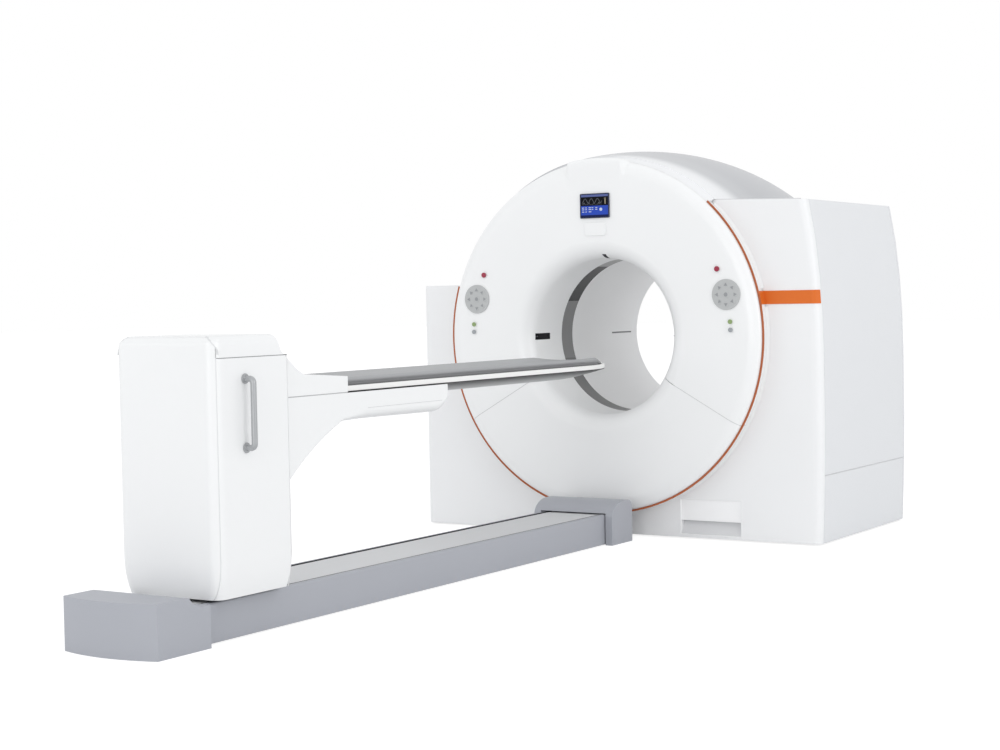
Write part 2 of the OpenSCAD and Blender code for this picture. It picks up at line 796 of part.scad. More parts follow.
cover_y = [-base_far + 190, -base_near - 145];
slot_x = belt_w + slot_w;
module base_side_covers() color(base_grey) both_sides()
  pull_y(cover_y[0], cover_y[1] - cover_y[0]) polygon(concat(
    [[base_w, 4]], arc(base_w - 8, base_h - 8, 8, 8, 0, 90, 5),
    [[slot_x, base_h], [slot_x, base_h - 4]],
    arc(base_w - 8, base_h - 8, 4, 4, 90, 0, 5), [[base_w - 4, 4]]));

module cover_belt() color(belt_grey)
  box([-belt_w, belt_w], [channel_y[0] + 2, channel_y[1] - 2],
    [base_h - 6 + gap, base_h - 2]);

rail_w = 28;
rail_h = 24;
module guide_rails() color([0.7, 0.71, 0.73]) both_sides()
  box(about(rail_gap / 2, rail_w / 2), [channel_y[0] + 24, channel_y[1] - 24],
    [channel_t, channel_t + rail_h]);

// Plan of the far cap: a straight-sided block with a bowed end, drawn in by t
function cap_plan(w, y0, y1, bulge, t) = concat(
  [for (i = [0:12]) let (u = i / 6 - 1)
    [u * (w - t), y0 + t + bulge * u * u - bulge]],
  [[w - t, y1], [-w + t, y1]]);

far_top_y = -base_far + 140;
far_end_y = -base_far + 270;
module cap_far_form(t) intersection() {
  translate([0, 0, t > 0 ? -1 : 0]) linear_extrude(height = cap_h - t + (t > 0 ? 1 : 0))
    polygon(cap_plan(cap_w, -base_far, far_end_y - t, cap_bulge, t));
  pull_x(-cap_w - 1, 2 * cap_w + 2) polygon([
    [-base_far - cap_bulge - 1, -1], [far_end_y + 1, -1],
    [far_end_y + 1, base_h + 3 - t], [far_end_y - 50, base_h + 5 - t],
    [far_end_y - 90, base_h + 20 - t], [far_top_y + 20, cap_h - 3 - t],
    [far_top_y, cap_h - t + 1], [-base_far - cap_bulge - 1, cap_h - t + 1]]);
}

module base_cap_far() difference() {
  cap_far_form(0);
  cap_far_form(table_t);
  box([-base_w - 1, base_w + 1], [far_end_y - 85, far_end_y + 1],
    [-1, base_h + 1]);
  box([-base_w + 8, base_w - 8], [-base_far + 120, far_end_y + 1],
    [-1, base_h + 1]);
}

// Side outline of the near cap, drawn in by t
near_y = [-base_near - 204, -base_near];
cap_gap = 5;
function near_line(t) = concat([[near_y[1] - t, t > 0 ? -1 : 0]],
  arc(near_y[1] - 40, near_h - 40, 40 - t, 40 - t, 0, 90, 6),
  arc(near_y[0] + 120, near_h - 72, 120 - t, 72 - t, 90, 180, 10),
  [[near_y[0] + t, t > 0 ? -1 : 0]]);

module base_cap_near() difference() {
  pull_x(-cap_w, 2 * cap_w) polygon(near_line(0));
  pull_x(-cap_w + table_t, 2 * (cap_w - table_t)) polygon(near_line(table_t));
  box(about(0, base_w + cap_gap), [near_y[0] - 10, near_y[0] + 90],
    [-1, base_h + cap_gap]);
}

module base_caps() color(base_grey) {
  base_cap_far();
  base_cap_near();
}

// -------------------------------------------------- carriage and pedestal

ped_front = -ped_far + ped_d;
cap_joint_z = ped_h - cap_joint;
foot_z = base_h + ped_gap;
plate_ends = [-ped_far + 50, ped_front - 50];
deck_z = [foot_z + 2, foot_z + 16];
under_z = [88, 98];
web_x = [belt_w + 3, slot_x - 3];
roller_r = 45;
roller_gap = 0.3;
roller_y = (plate_ends[0] + plate_ends[1]) / 2;
roller_z = channel_t + roller_gap + roller_r;
roller_x = [-62, -30];
shaft_r = 8;

module carriage_frame() color(steel) difference() {
  union() {
    box([-web_x[1], web_x[1]], plate_ends, deck_z);
    box([-web_x[1], web_x[1]], plate_ends, under_z);
    both_sides() box(web_x, plate_ends, [under_z[0] + 1, deck_z[1] - 1]);
  }
  box([roller_x[0] - 5, roller_x[1] + 5], about(roller_y, roller_r), [80, 110]);
}

block_l = 76;
block_fit = 0.4;
module runner_blocks() color([0.4, 0.42, 0.45])
  for (y = [plate_ends[0] + 20, plate_ends[1] - 20 - block_l]) both_sides()
    difference() {
      box(about(rail_gap / 2, 28), [y, y + block_l],
        [channel_t + 6, under_z[0]]);
      box(about(rail_gap / 2, rail_w / 2 + block_fit),
        [y - 1, y + block_l + 1], [0, channel_t + rail_h + block_fit]);
    }

motor_r = 27;
module drive_motor() color(dark) {
  rod_x(roller_x[1] + 6, 50, roller_y, roller_z, motor_r);
  rod_x(roller_x[0] + 2, roller_x[1] + 7, roller_y, roller_z, shaft_r);
  box([-10, 40], about(roller_y, 20), [roller_z + 10, under_z[0]]);
}

module drive_roller() color([0.75, 0.45, 0.2]) difference() {
  rod_x(roller_x[0], roller_x[1], roller_y, roller_z, roller_r);
  rod_x(roller_x[0] - 1, roller_x[1] + 1, roller_y, roller_z,
    shaft_r + roller_gap);
}

// Column, lift rails and the lift's lower cylinder
column_x = 130;
column_y = [-ped_far + 57, ped_front - 118];
column_h = cap_joint_z - 30;
lift_rail_x = 70;
lift_rail_d = 20;
cyl_y = ped_front - 74;
cyl_r = 30;
slide_z = [arm_z - 208, arm_z + 72];
cyl_top = slide_z[0] - 110;
rod_r = 15;
rod_fit = 0.1;

module pedestal_frame() color(steel) {
  difference() {
    box([-column_x, column_x], column_y, [deck_z[1], column_h]);
    box([-column_x + 10, column_x - 10], [column_y[0] + 10, column_y[1] - 10],
      [deck_z[1] + 12, column_h + 1]);
  }
  both_sides() box(about(lift_rail_x, 12),
    [column_y[1] - 1, column_y[1] + lift_rail_d], [deck_z[1] + 76, column_h]);
  difference() {
    union() {
      translate([0, cyl_y, deck_z[1]])
        cylinder(h = cyl_top - deck_z[1], r = cyl_r, $fn = round_fn);
      box([-20, 20], [column_y[1] - 1, cyl_y - 10],
        [deck_z[1], deck_z[1] + 60]);
    }
    translate([0, cyl_y, deck_z[1] + 18]) cylinder(h = cyl_top, r = rod_r + rod_fit,
      $fn = round_fn);
  }
}

// Ring of the pedestal's outline at height z, drawn in by t
tuck_z = 285;
top_r = 36;
function ped_inset(z) = z < tuck_z
  ? ped_tuck * pow((tuck_z - z) / (tuck_z - foot_z), 2)
  : z > ped_h - top_r
    ? top_r - sqrt(max(0, top_r * top_r - pow(z - ped_h + top_r, 2))) : 0;
function ped_ring(z, t, z_form) = let (s = ped_inset(z_form) + t)
  let (x = ped_w - s, y0 = -ped_far + s, y1 = ped_front - s,
    r = ped_corner - t, e = ped_edge - t)
  [for (p = concat(arc(x - e, y1 - e, e, e, 0, 90, 6),
    arc(e - x, y1 - e, e, e, 90, 180, 6),
    arc(r - x, y0 + r, r, r, 180, 270, 6),
    arc(x - r, y0 + r, r, r, 270, 360, 6))) [p[0], p[1], z]];

module ped_form(t) difference() {
  loft(concat(
    t > 0 ? [ped_ring(foot_z - 20, t, foot_z)] : [],
    [for (z = [foot_z, 180, 205, 235, tuck_z, 700, ped_h - top_r])
      ped_ring(z, t, z)],
    [for (a = [25, 50, 70, 85]) let (z = ped_h - top_r + top_r * sin(a))
      ped_ring(z - t * sin(a), t, z)]));
  translate([0, -t * 0.7, -t * 0.7]) pull_x(-ped_w - 1, 2 * ped_w + 2)
    polygon([[ped_front - ped_slope, ped_h + 60],
      [ped_front - ped_slope, ped_h], [ped_front - 0.66 * ped_slope, ped_h - 60],
      [ped_front, ped_h - 102], [ped_front + 60, ped_h - 102],
      [ped_front + 60, ped_h + 60]]);
}

module ped_shell() difference() {
  ped_form(0);
  ped_form(table_t);
}

handle_y = -ped_far + 164;
end_joint_y = -ped_far + 19;
front_joint_y = ped_front - 14;
// The end cover's outline has rounded upper corners, widened by w
module end_outline(w) pull_y(-ped_far - 10, end_joint_y + ped_far + 10 + w)
  polygon(rounded(-ped_w - w, ped_w + w, -cap_joint, ped_h + w, cap_joint + w, 12));

module pedestal_end_cover() color(white) intersection() {
  ped_shell();
  end_outline(0);
}

module pedestal_top_cap() color(white) difference() {
  intersection() {
    ped_shell();
    box([-big, big], [-ped_far - 10, ped_front + 10], [cap_joint_z, big]);
  }
  end_outline(seam);
}

module side_panel() intersection() {
  ped_shell();
  box([20, big], [end_joint_y + seam, front_joint_y],
    [0, cap_joint_z - seam]);
}

neck_x = 80;
neck_z = [arm_z - 133, arm_z - 3];
module front_panel() difference() {
  intersection() {
    ped_shell();
    box([-big, big], [front_joint_y + seam, ped_front + 10],
      [0, cap_joint_z - seam]);
  }
  box([-neck_x - 6, neck_x + 6], about(ped_front, 60),
    [neck_z[0] - 97, neck_z[1] + 67]);
}

module pedestal_panels() color(white) {
  both_sides() side_panel();
  front_panel();
}

// A bent tube on two foot plates
tube_r = 11;
bend_r = 16;
module handles() color([0.62, 0.63, 0.65]) both_sides() {
  bar_x = ped_w + handle_out - tube_r;
  for (s = [-1, 1]) translate([0, 0, handle_z]) scale([1, 1, s]) {
    rod_x(ped_w + gap, bar_x - bend_r, handle_y, handle_l / 2, tube_r);
    rod_x(ped_w + gap, ped_w + 5, handle_y, handle_l / 2, tube_r + 8);
    translate([bar_x - bend_r, handle_y, handle_l / 2 - bend_r])
      rotate([90, 0, 0]) rotate_extrude(angle = 90, $fn = round_fn)
        translate([bend_r, 0]) circle(r = tube_r);
  }
  translate([bar_x, handle_y, handle_z - handle_l / 2 + bend_r])
    cylinder(h = handle_l - 2 * bend_r, r = tube_r, $fn = round_fn);
}

// --------------------------------------------------------- arm and pallet

arm_back = ped_front + 4;
arm_box_x = 120;
arm_box_z = [arm_z - 84, arm_z - 44];
slide_y = [column_y[1] + lift_rail_d + 2, column_y[1] + lift_rail_d + 20];
module arm_frame() color(steel) {
  difference() {
    box([-110, 110], [column_y[1] + gap, slide_y[1]], slide_z);
    both_sides() box(about(lift_rail_x, 12 + gap),
      [column_y[1], column_y[1] + lift_rail_d + gap], [slide_z[0] - 1, slide_z[1] + 1]);
  }
  box([-neck_x, neck_x], [slide_y[1] - 1, arm_back + 40], neck_z);
  box([-arm_box_x, arm_box_x], [arm_back + 20, -arm_end - 150], arm_box_z);
  translate([0, cyl_y, deck_z[1] + 126]) cylinder(h = slide_z[0] - deck_z[1] - 125, r = rod_r,
    $fn = round_fn);
}

// Ring of the arm's section at distance y: open above, its lower corners
// rounded, its bottom at height zb; the rounding is small by the pedestal
round_y = [-2500, -2324];
function edge(y) = [12, 10] + [39, 28]
  * min(1, max(0, (y - round_y[0]) / (round_y[1] - round_y[0])));
function arm_ring(y, zb, top, t) = let (e = edge(y)) [for (p = concat(
  [[-arm_w + t, top]],
  arc(-arm_w + e[0], zb + e[1], e[0] - t, e[1] - t, 180, 270, 6),
  arc(arm_w - e[0], zb + e[1], e[0] - t, e[1] - t, 270, 360, 6),
  [[arm_w - t, top]])) [p[0], y, p[1]]];

// Height of the arm's underside: a swept gusset, then a nearly level beam
gusset_y = [-2480, arm_back];
gusset_z = [arm_z - arm_drop + 6, 530];
tip_l = 70;
function arm_under(y) = y > -arm_end - tip_l
  ? arm_z - arm_drop + 34 * pow((y + arm_end + tip_l) / tip_l, 2.2)
  : y > gusset_y[0]
    ? arm_z - arm_drop + (gusset_z[0] - arm_z + arm_drop)
      * (-arm_end - tip_l - y) / (-arm_end - tip_l - gusset_y[0])
    : let (u = (gusset_y[0] - y) / (gusset_y[0] - gusset_y[1]))
      gusset_z[0] - (gusset_z[0] - gusset_z[1]) * (0.6 * u + 0.4 * u * u);

arm_steps = [0, 12, 30, 50, tip_l, 400, 560, 640, 716, 770, 830, 890, 950, 1010];
module arm_form(t, top) loft([
  for (s = concat(arm_steps, [-arm_end - arm_back]))
    let (y = -arm_end - s) arm_ring(y - (s == 0 ? t : 0), arm_under(y), top, t)]);

module arm_cover() color(white) difference() {
  arm_form(0, arm_z);
  intersection() {
    arm_form(table_t, arm_z + 30);
    box([-300, 300], [arm_back - 30, -arm_end - table_t], [0, 1000]);
  }
  box([-neck_x - 6, neck_x + 6], add([-10, 30], arm_back), [neck_z[0] - 6, neck_z[1] + 60]);
  pull_y(-arm_end - 20, 40) polygon(concat([[-pallet_w, 1000]],
    [for (i = [0:12]) let (u = i / 6 - 1)
      [u * pallet_w, pallet_z - pallet_edge - 2 - pallet_belly * (1 - u * u)]],
    [[pallet_w, 1000]]));
}

shoulder = [
  [arm_back, shoulder_z], [arm_back + 65, shoulder_z - 51],
  [arm_back + 109, head_z + 19], [-head_end, head_z]];
head_x = arm_w - table_t;
module arm_head_cover() color(white) difference() {
  pull_x(-arm_w, 2 * arm_w) polygon(concat(
    [[-head_end, arm_z + seam], [arm_back, arm_z + seam]], shoulder));
  pull_x(-head_x, 2 * head_x) polygon([
    [arm_back + table_t, arm_z], [arm_back + table_t, shoulder_z - 9],
    [arm_back + 62, shoulder_z - 58], [arm_back + 104, head_z + 13],
    [arm_back + 106, 1200], [-head_end + 10, 1200], [-head_end + 10, arm_z]]);
}

// Half width and belly of the pallet at distance y, and its section
function pallet_half(y, w) = y < -tip_y - nose_l ? w
  : max(14, w * sqrt(max(0, 1 - pow((y + tip_y + nose_l) / nose_l, 2))));
function belly(y) = pallet_belly * min(1, max(0.55, (-y - 50) / 500));
pallet_back = arm_back + 112;
// Distances from the tip of the rings through the nose, the trough and the pad
nose_steps = [0, 8, 25, 50];
trough_steps = [100, 130, 190, 250, 320, nose_l, nose_l + 300];
pad_lift = [4, 18, mat_t, mat_t, mat_t, mat_t];

// Ring of the pallet at y, drawn in by t, with its upper edge at height top
function pallet_ring(y, t, top) = let (w = pallet_half(y, pallet_w) - t,
    z = pallet_z - pallet_edge + t)
  [for (p = concat([[-w, top]],
    [for (i = [0:12]) let (u = i / 6 - 1)
      [u * w, z - belly(y) * (1 - u * u)]], [[w, top]])) [p[0], y, p[1]]];

// The trough starts behind the nose
module pallet() color(pallet_grey) difference() {
  loft(concat(
    [for (s = concat(nose_steps, trough_steps)) pallet_ring(-tip_y - s, 0, pallet_z)],
    [pallet_ring(pallet_back, 0, pallet_z)]));
  loft(concat(
    [for (s = trough_steps) pallet_ring(-tip_y - s, pallet_t, pallet_z + 5)],
    [pallet_ring(pallet_back + pallet_t, pallet_t, pallet_z + 5)]));
}

// The mattress lies in the trough, its upper face slightly hollow
function mat_ring(y, lift) = let (w = pallet_half(y, pallet_w) - pallet_t - 1,
    z = pallet_z - pallet_edge + pallet_t + 1)
  [for (p = concat(
    [for (i = [0:12]) let (u = i / 6 - 1)
      [u * w, z - belly(y) * (1 - u * u)]],
    [for (i = [0:8]) let (u = 1 - i / 4)
      [u * w, pallet_z + lift - 10 * (1 - u * u)]])) [p[0], y, p[1]]];

module mattress() color([0.66, 0.67, 0.69]) loft(concat(
  [for (i = [1:len(trough_steps) - 1])
    mat_ring(-tip_y - trough_steps[i], pad_lift[i - 1])],
  [mat_ring(pallet_back + pallet_t + 4, mat_t)]));

gantry_base_frame();
ct_stator_frame();
bearing_outer_race();
pet_frame();
pet_detectors();
pet_shields();
electronics_rack();
cooling_unit();
bore_liner();
scan_window();
front_throat();
front_cover_upper();
front_cover_lower();
front_crown();
rear_mouth();
rear_cover();
top_hood();
front_panel_right();
front_panel_left();
side_panels();
rear_panels();
accent_trim();
display_bezel();
display_screen();
status_lens();
keypads();
laser_windows();
foot_vent();
base_channel();
base_side_covers();
base_caps();
cover_belt();
guide_rails();
rotor_drum();
bearing_inner_race();
xray_tube();
collimator();
ct_detector();
rotor_power_units();
slip_ring();
carriage_frame();
runner_blocks();
drive_motor();
drive_roller();
pedestal_frame();
pedestal_end_cover();
pedestal_top_cap();
pedestal_panels();
handles();
arm_frame();
arm_cover();
arm_head_cover();
pallet();
mattress();
stop_button_right();
stop_button_left();
start_button_right();
start_button_left();
move_button_right();
move_button_left();
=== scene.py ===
import math

import bmesh
import bpy
from mathutils import Matrix, Vector
from mathutils.bvhtree import BVHTree


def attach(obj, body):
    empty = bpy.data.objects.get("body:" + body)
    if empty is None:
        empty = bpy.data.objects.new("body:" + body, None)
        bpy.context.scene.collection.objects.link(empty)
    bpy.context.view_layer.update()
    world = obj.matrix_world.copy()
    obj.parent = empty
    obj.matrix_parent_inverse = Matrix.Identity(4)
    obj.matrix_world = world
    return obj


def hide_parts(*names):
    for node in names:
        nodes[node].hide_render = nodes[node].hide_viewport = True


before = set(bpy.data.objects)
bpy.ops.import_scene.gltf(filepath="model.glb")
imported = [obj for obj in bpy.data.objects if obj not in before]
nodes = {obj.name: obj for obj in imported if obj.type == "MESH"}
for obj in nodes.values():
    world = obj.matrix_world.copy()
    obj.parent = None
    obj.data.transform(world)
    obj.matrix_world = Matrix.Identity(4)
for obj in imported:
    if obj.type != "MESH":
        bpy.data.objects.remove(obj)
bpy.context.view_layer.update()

# ---------------------------------------------------------------- studio
# A plain white studio: a pale floor without an edge, a soft sky all round
# and four large soft lamps. The camera stands to the right of the table.
camera_data = bpy.data.cameras.new("camera")
camera_data.lens = 66.54
camera_data.sensor_width = 36.0
camera_data.clip_end = 100.0
camera = bpy.data.objects.new("camera", camera_data)
bpy.context.scene.collection.objects.link(camera)
camera_turn, camera_tilt, camera_roll = 0.5632, -0.0414, -0.0191
camera.matrix_world = (Matrix.Translation((4.4967, -8.1356, 1.1987))
    @ Matrix.Rotation(camera_turn, 4, "Z")
    @ Matrix.Rotation(math.pi / 2 + camera_tilt, 4, "X")
    @ Matrix.Rotation(camera_roll, 4, "Z"))
bpy.context.scene.camera = camera
bpy.context.scene.view_settings.view_transform = "Standard"


class Socket:
    """A shader socket that can stand in a sum or a product."""

    def __init__(self, shader, node, link):
        self.shader, self.node, self.link = shader, node, link

    def joined(self, operation, a, b):
        return self.shader.add("ShaderNodeMath", {"operation": operation}, {0: a, 1: b})

    def __add__(self, other):
        return self.joined("ADD", self, other)

    __radd__ = __add__

    def __sub__(self, other):
        return self.joined("SUBTRACT", self, other)

    def __rsub__(self, other):
        return self.joined("SUBTRACT", other, self)

    def __mul__(self, other):
        return self.joined("MULTIPLY", self, other)

    __rmul__ = __mul__


class Shader:
    """The node tree of one finish."""

    def __init__(self, name, tree=None):
        if tree is None:
            self.material = bpy.data.materials.new(name)
            self.material.use_nodes = True
            tree = self.material.node_tree
        self.tree = tree
        self.tree.nodes.clear()

    def add(self, kind, settings=None, inputs=None, out=0):
        node = self.tree.nodes.new(kind)
        for key, value in (settings or {}).items():
            if key == "stops":
                ramp = node.color_ramp.elements
                while len(ramp) < len(value):
                    ramp.new(0.5)
                for element, (place, colour) in zip(ramp, value):
                    element.position, element.color = place, colour
            else:
                setattr(node, key, value)
        for key, value in (inputs or {}).items():
            if isinstance(value, Socket):
                self.tree.links.new(value.link, node.inputs[key])
            else:
                node.inputs[key].default_value = value
        return Socket(self, node, node.outputs[out]) if len(node.outputs) else None


floor_mesh = bpy.data.meshes.new("studio_floor")
floor_form = bmesh.new()
bmesh.ops.create_grid(floor_form, x_segments=1, y_segments=1, size=60.0)
floor_form.to_mesh(floor_mesh)
floor_form.free()
floor = bpy.data.objects.new("studio_floor", floor_mesh)
bpy.context.scene.collection.objects.link(floor)
paper = Shader("studio_paper")
path = paper.add("ShaderNodeLightPath", out="Is Camera Ray")
matt = paper.add("ShaderNodeBsdfDiffuse", {}, {"Color": (0.92, 0.92, 0.92, 1)})
pale = paper.add("ShaderNodeBsdfDiffuse", {}, {"Color": (0.30, 0.30, 0.30, 1)})
glow = paper.add("ShaderNodeEmission", {}, {"Color": (1, 1, 1, 1), "Strength": 0.85})
shown = paper.add("ShaderNodeAddShader", {}, {0: pale, 1: glow})
paper.add("ShaderNodeOutputMaterial", {}, {"Surface":
    paper.add("ShaderNodeMixShader", {}, {0: path, 1: matt, 2: shown})})
floor_mesh.materials.append(paper.material)

world = bpy.data.worlds.new("studio_sky")
world.use_nodes = True
bpy.context.scene.world = world
sky = Shader("studio_sky", world.node_tree)
sky_seen = sky.add("ShaderNodeBackground", {}, {"Color": (1, 1, 1, 1), "Strength": 1.0})
sky_light = sky.add("ShaderNodeBackground", {}, {"Color": (0.975, 0.985, 1, 1), "Strength": 0.90})
seen = (sky.add("ShaderNodeLightPath", out="Is Camera Ray")
    + sky.add("ShaderNodeLightPath", out="Is Glossy Ray")
    + sky.add("ShaderNodeLightPath", out="Is Transmission Ray"))
sky.add("ShaderNodeOutputWorld", {}, {"Surface": sky.add("ShaderNodeMixShader", {}, {
    0: seen, 1: sky_light, 2: sky_seen})})

for lamp_name, place, aim, size, power in (
        ("lamp_front", (2.0, -20.0, 2.6), (0, 0.5, 0.9), 9.0, 480),
        ("lamp_side", (9.0, -3.0, 3.0), (0, -0.5, 0.9), 4.0, 110),
        ("lamp_left", (-9.0, -9.0, 3.0), (0, 0.0, 0.9), 5.0, 50),
        ("lamp_top", (0.5, -1.5, 6.5), (0, -0.8, 0.8), 6.0, 14)):
    lamp_data = bpy.data.lights.new(lamp_name, "AREA")
    lamp_data.shape = "SQUARE"
    lamp_data.size = size
    lamp_data.energy = power
    lamp = bpy.data.objects.new(lamp_name, lamp_data)
    bpy.context.scene.collection.objects.link(lamp)
    lamp.location = place
    lamp.rotation_euler = (Vector(aim) - Vector(place)).to_track_quat("-Z", "Y").to_euler()


# ---------------------------------------------------------- front covers
# The two moulded front covers: a ring with a rounded rim and a deep lip
# round the tunnel, split on each side. They are lacquered and clip on.
axis_z = 1.0
rim_r, rim_back, face_y = 0.875, -0.0145, -0.0995
bend_r, bend_y = 0.799, -0.062


def paint(name, colour, rough, mottle=0.012, grain=350.0, bump=0.02, coat=0.0, metal=0.0,
        shine=0.5, along=None):
    """A smooth finish with a faint cloudiness and a fine surface grain. Its colour may
    change along a direction, which paints light and shade onto it: along is the direction,
    its range and the ramp's stops."""
    factor, colour_a, colour_b, mixed = 0, 6, 7, 2  # sockets of a Mix node for colours
    s = Shader(name)
    where = s.add("ShaderNodeTexCoord", out="Object")
    cloud = s.add("ShaderNodeTexNoise", {}, {"Vector": where, "Scale": 2.6, "Detail": 3.0})
    fine = s.add("ShaderNodeTexNoise", {}, {"Vector": where, "Scale": grain, "Detail": 2.0})
    dark = tuple(c * (1 - 2 * mottle) for c in colour) + (1,)
    light = tuple(min(1, c * (1 + mottle)) for c in colour) + (1,)
    tone = s.add("ShaderNodeMix", {"data_type": "RGBA"},
        {factor: cloud, colour_a: dark, colour_b: light}, out=mixed)
    if along:
        way, low, high, stops, kind = along
        part = s.add("ShaderNodeVectorMath", {"operation": "DOT_PRODUCT"}, {0: where, 1: way},
            out="Value")
        ramp = s.add("ShaderNodeValToRGB", {"stops": stops}, {"Fac": (part - low) * (1 / (high - low))})
        ramp.node.color_ramp.interpolation = kind
        tone = s.add("ShaderNodeMix", {"data_type": "RGBA", "blend_type": "MULTIPLY"},
            {factor: 1.0, colour_a: tone, colour_b: ramp}, out=mixed)
    skin = s.add("ShaderNodeBump", {}, {"Strength": bump, "Distance": 0.001, "Height": fine})
    surface = s.add("ShaderNodeBsdfPrincipled", {}, {
        "Base Color": tone, "Roughness": rough + (fine - 0.5) * 0.12, "Normal": skin,
        "Metallic": metal, "Coat Weight": coat, "Coat Roughness": 0.12,
        "Specular IOR Level": shine})
    s.add("ShaderNodeOutputMaterial", {}, {"Surface": surface})
    return s.material


def wear(piece, material):
    """Gives a piece its finish."""
    piece.data.materials.clear()
    piece.data.materials.append(material)


def softened(node, edge, body, slot, material, steps=2):
    """A merged copy of a CAD node with its sharp edges rounded off."""
    flat, keen_from = math.radians(0.6), math.radians(28)
    form = bmesh.new()
    form.from_mesh(nodes[node].data)
    bmesh.ops.remove_doubles(form, verts=form.verts, dist=2e-5)
    bmesh.ops.dissolve_limit(form, angle_limit=flat, verts=form.verts, edges=form.edges)
    keen = [e for e in form.edges if len(e.link_faces) == 2 and e.calc_face_angle(0) > keen_from]
    bmesh.ops.bevel(form, geom=keen, offset=edge, offset_type="OFFSET", segments=steps,
        profile=0.5, affect="EDGES", clamp_overlap=True, material=-1)
    return placed(form, node + "_skin", body, slot, material, node)


def placed(form, name, body, slot, material, *stands_for):
    """Makes a piece of a finished form and puts it on its body."""
    mesh = bpy.data.meshes.new(name)
    form.to_mesh(mesh)
    form.free()
    mesh.shade_smooth()
    mesh.set_sharp_from_angle(angle=math.radians(40))
    piece = bpy.data.objects.new(name, mesh)
    bpy.context.scene.collection.objects.link(piece)
    normals = piece.modifiers.new("even_normals", "WEIGHTED_NORMAL")
    normals.keep_sharp = True
    wear(piece, material)
    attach(piece, body)
    if stands_for:
        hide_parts(*stands_for)
    return piece


cover_lacquer = paint("cover_lacquer", (0.88, 0.885, 0.885), 0.34, 0.006, 420, 0.015, coat=0.25)
softened("front_cover_upper", 0.0004, "gantry", "cover_white", cover_lacquer)
softened("front_cover_lower", 0.0008, "gantry", "cover_white", cover_lacquer)
softened("front_throat", 0.0003, "gantry", "cover_white", cover_lacquer)


def lofted(form, rings, ends=True):
    """Bridges rings of points to a skin. Its ends are closed, or else joined to each other."""
    loops = []
    for ring in rings:
        corners = [form.verts.new(place) for place in ring]
        loops.append([form.edges.new(pair) for pair in zip(corners, corners[1:] + corners[:1])])
    for a, b in zip(loops, loops[1:] if ends else loops[1:] + loops[:1]):
        bmesh.ops.bridge_loops(form, edges=a + b)
    if ends:
        for loop in (loops[0], loops[-1]):
            bmesh.ops.contextual_create(form, geom=loop)
    bmesh.ops.recalc_face_normals(form, faces=form.faces)


def spread(low, high, count):
    """Even steps from one value to another."""
    return [low + (high - low) * i / count for i in range(count + 1)]


# The raised field at the top of the front cover, a separate moulding that
# sits on the rim. Its sides and its foot run softly into the cover.
crown_r, crown_foot, crown_wall = 0.886, 0.742, 0.0008
crown_half, crown_fade = 12, 2.4
crown_outer = [(crown_r, rim_back), (crown_r, -0.040), (crown_r, -0.070)]
crown_outer += [(crown_r - 0.020 * (1 - math.cos(a)), -0.086 - 0.0215 * math.sin(a))
    for a in spread(0, math.pi / 2, 10)]
crown_outer += [(0.850, -0.1072), (0.830, -0.1060), (0.808, -0.1042), (0.785, -0.1022),
    (0.765, -0.1008), (crown_foot, -0.1003)]
crown_base = [(rim_r - 0.0005, y) for y in (rim_back, -0.035, -0.060)]
crown_base += [(bend_r + 0.0755 * math.cos(a), bend_y - 0.0375 * math.sin(a))
    for a in spread(0, math.pi / 2, 13)]
crown_base += [(0.782, face_y), (0.765, face_y), (crown_foot, face_y)]
crown = bmesh.new()
crown_rings = []
for turn in spread(-crown_half, crown_half, 60):
    u = min(1, (crown_half - abs(turn)) / crown_fade)
    swell = u * u * (3 - 2 * u)
    front = [(a + (b - a) * swell, c + (d - c) * swell)
        for (a, c), (b, d) in zip(crown_base, crown_outer)]
    back = [(r - crown_wall, y + crown_wall) for r, y in reversed(crown_base)]
    crown_rings.append([(r * math.sin(math.radians(turn)), y,
        axis_z + r * math.cos(math.radians(turn))) for r, y in front + back])
lofted(crown, crown_rings)
placed(crown, "crown_field", "gantry", "cover_white", cover_lacquer, "front_crown")

# A grey seal lies just under the surface in the split on each side.
lean = math.radians(29.5)
lip_edge = 0.4815
split_width = (-0.0005, 0.0035)


def cover_path(depth):
    """The cover's outline from its rim to its lip, sunk by a depth."""
    path = [(rim_r - depth, rim_back)]
    path += [(bend_r + (rim_r - bend_r - depth) * math.cos(a), bend_y - (0.038 - depth) * math.sin(a))
        for a in spread(0, math.pi / 2, 16)]
    return path + [(lip_edge, depth - 0.100)]


split_seals = bmesh.new()
for side in (-1, 1):
    rings = []
    for (r_out, y_out), (r_in, y_in) in zip(cover_path(0.0009), cover_path(0.003)):
        rings.append([(side * (r * math.cos(lean) - off * math.sin(lean)), y,
            axis_z - r * math.sin(lean) - off * math.cos(lean)) for r, y, off in (
            (r_out, y_out, split_width[0]), (r_out, y_out, split_width[1]),
            (r_in, y_in, split_width[1]), (r_in, y_in, split_width[0]))])
    lofted(split_seals, rings)
placed(split_seals, "split_seals", "gantry", "key_grey",
    paint("seal_grey", (0.58, 0.585, 0.59), 0.7, 0.01, 500, 0.05))

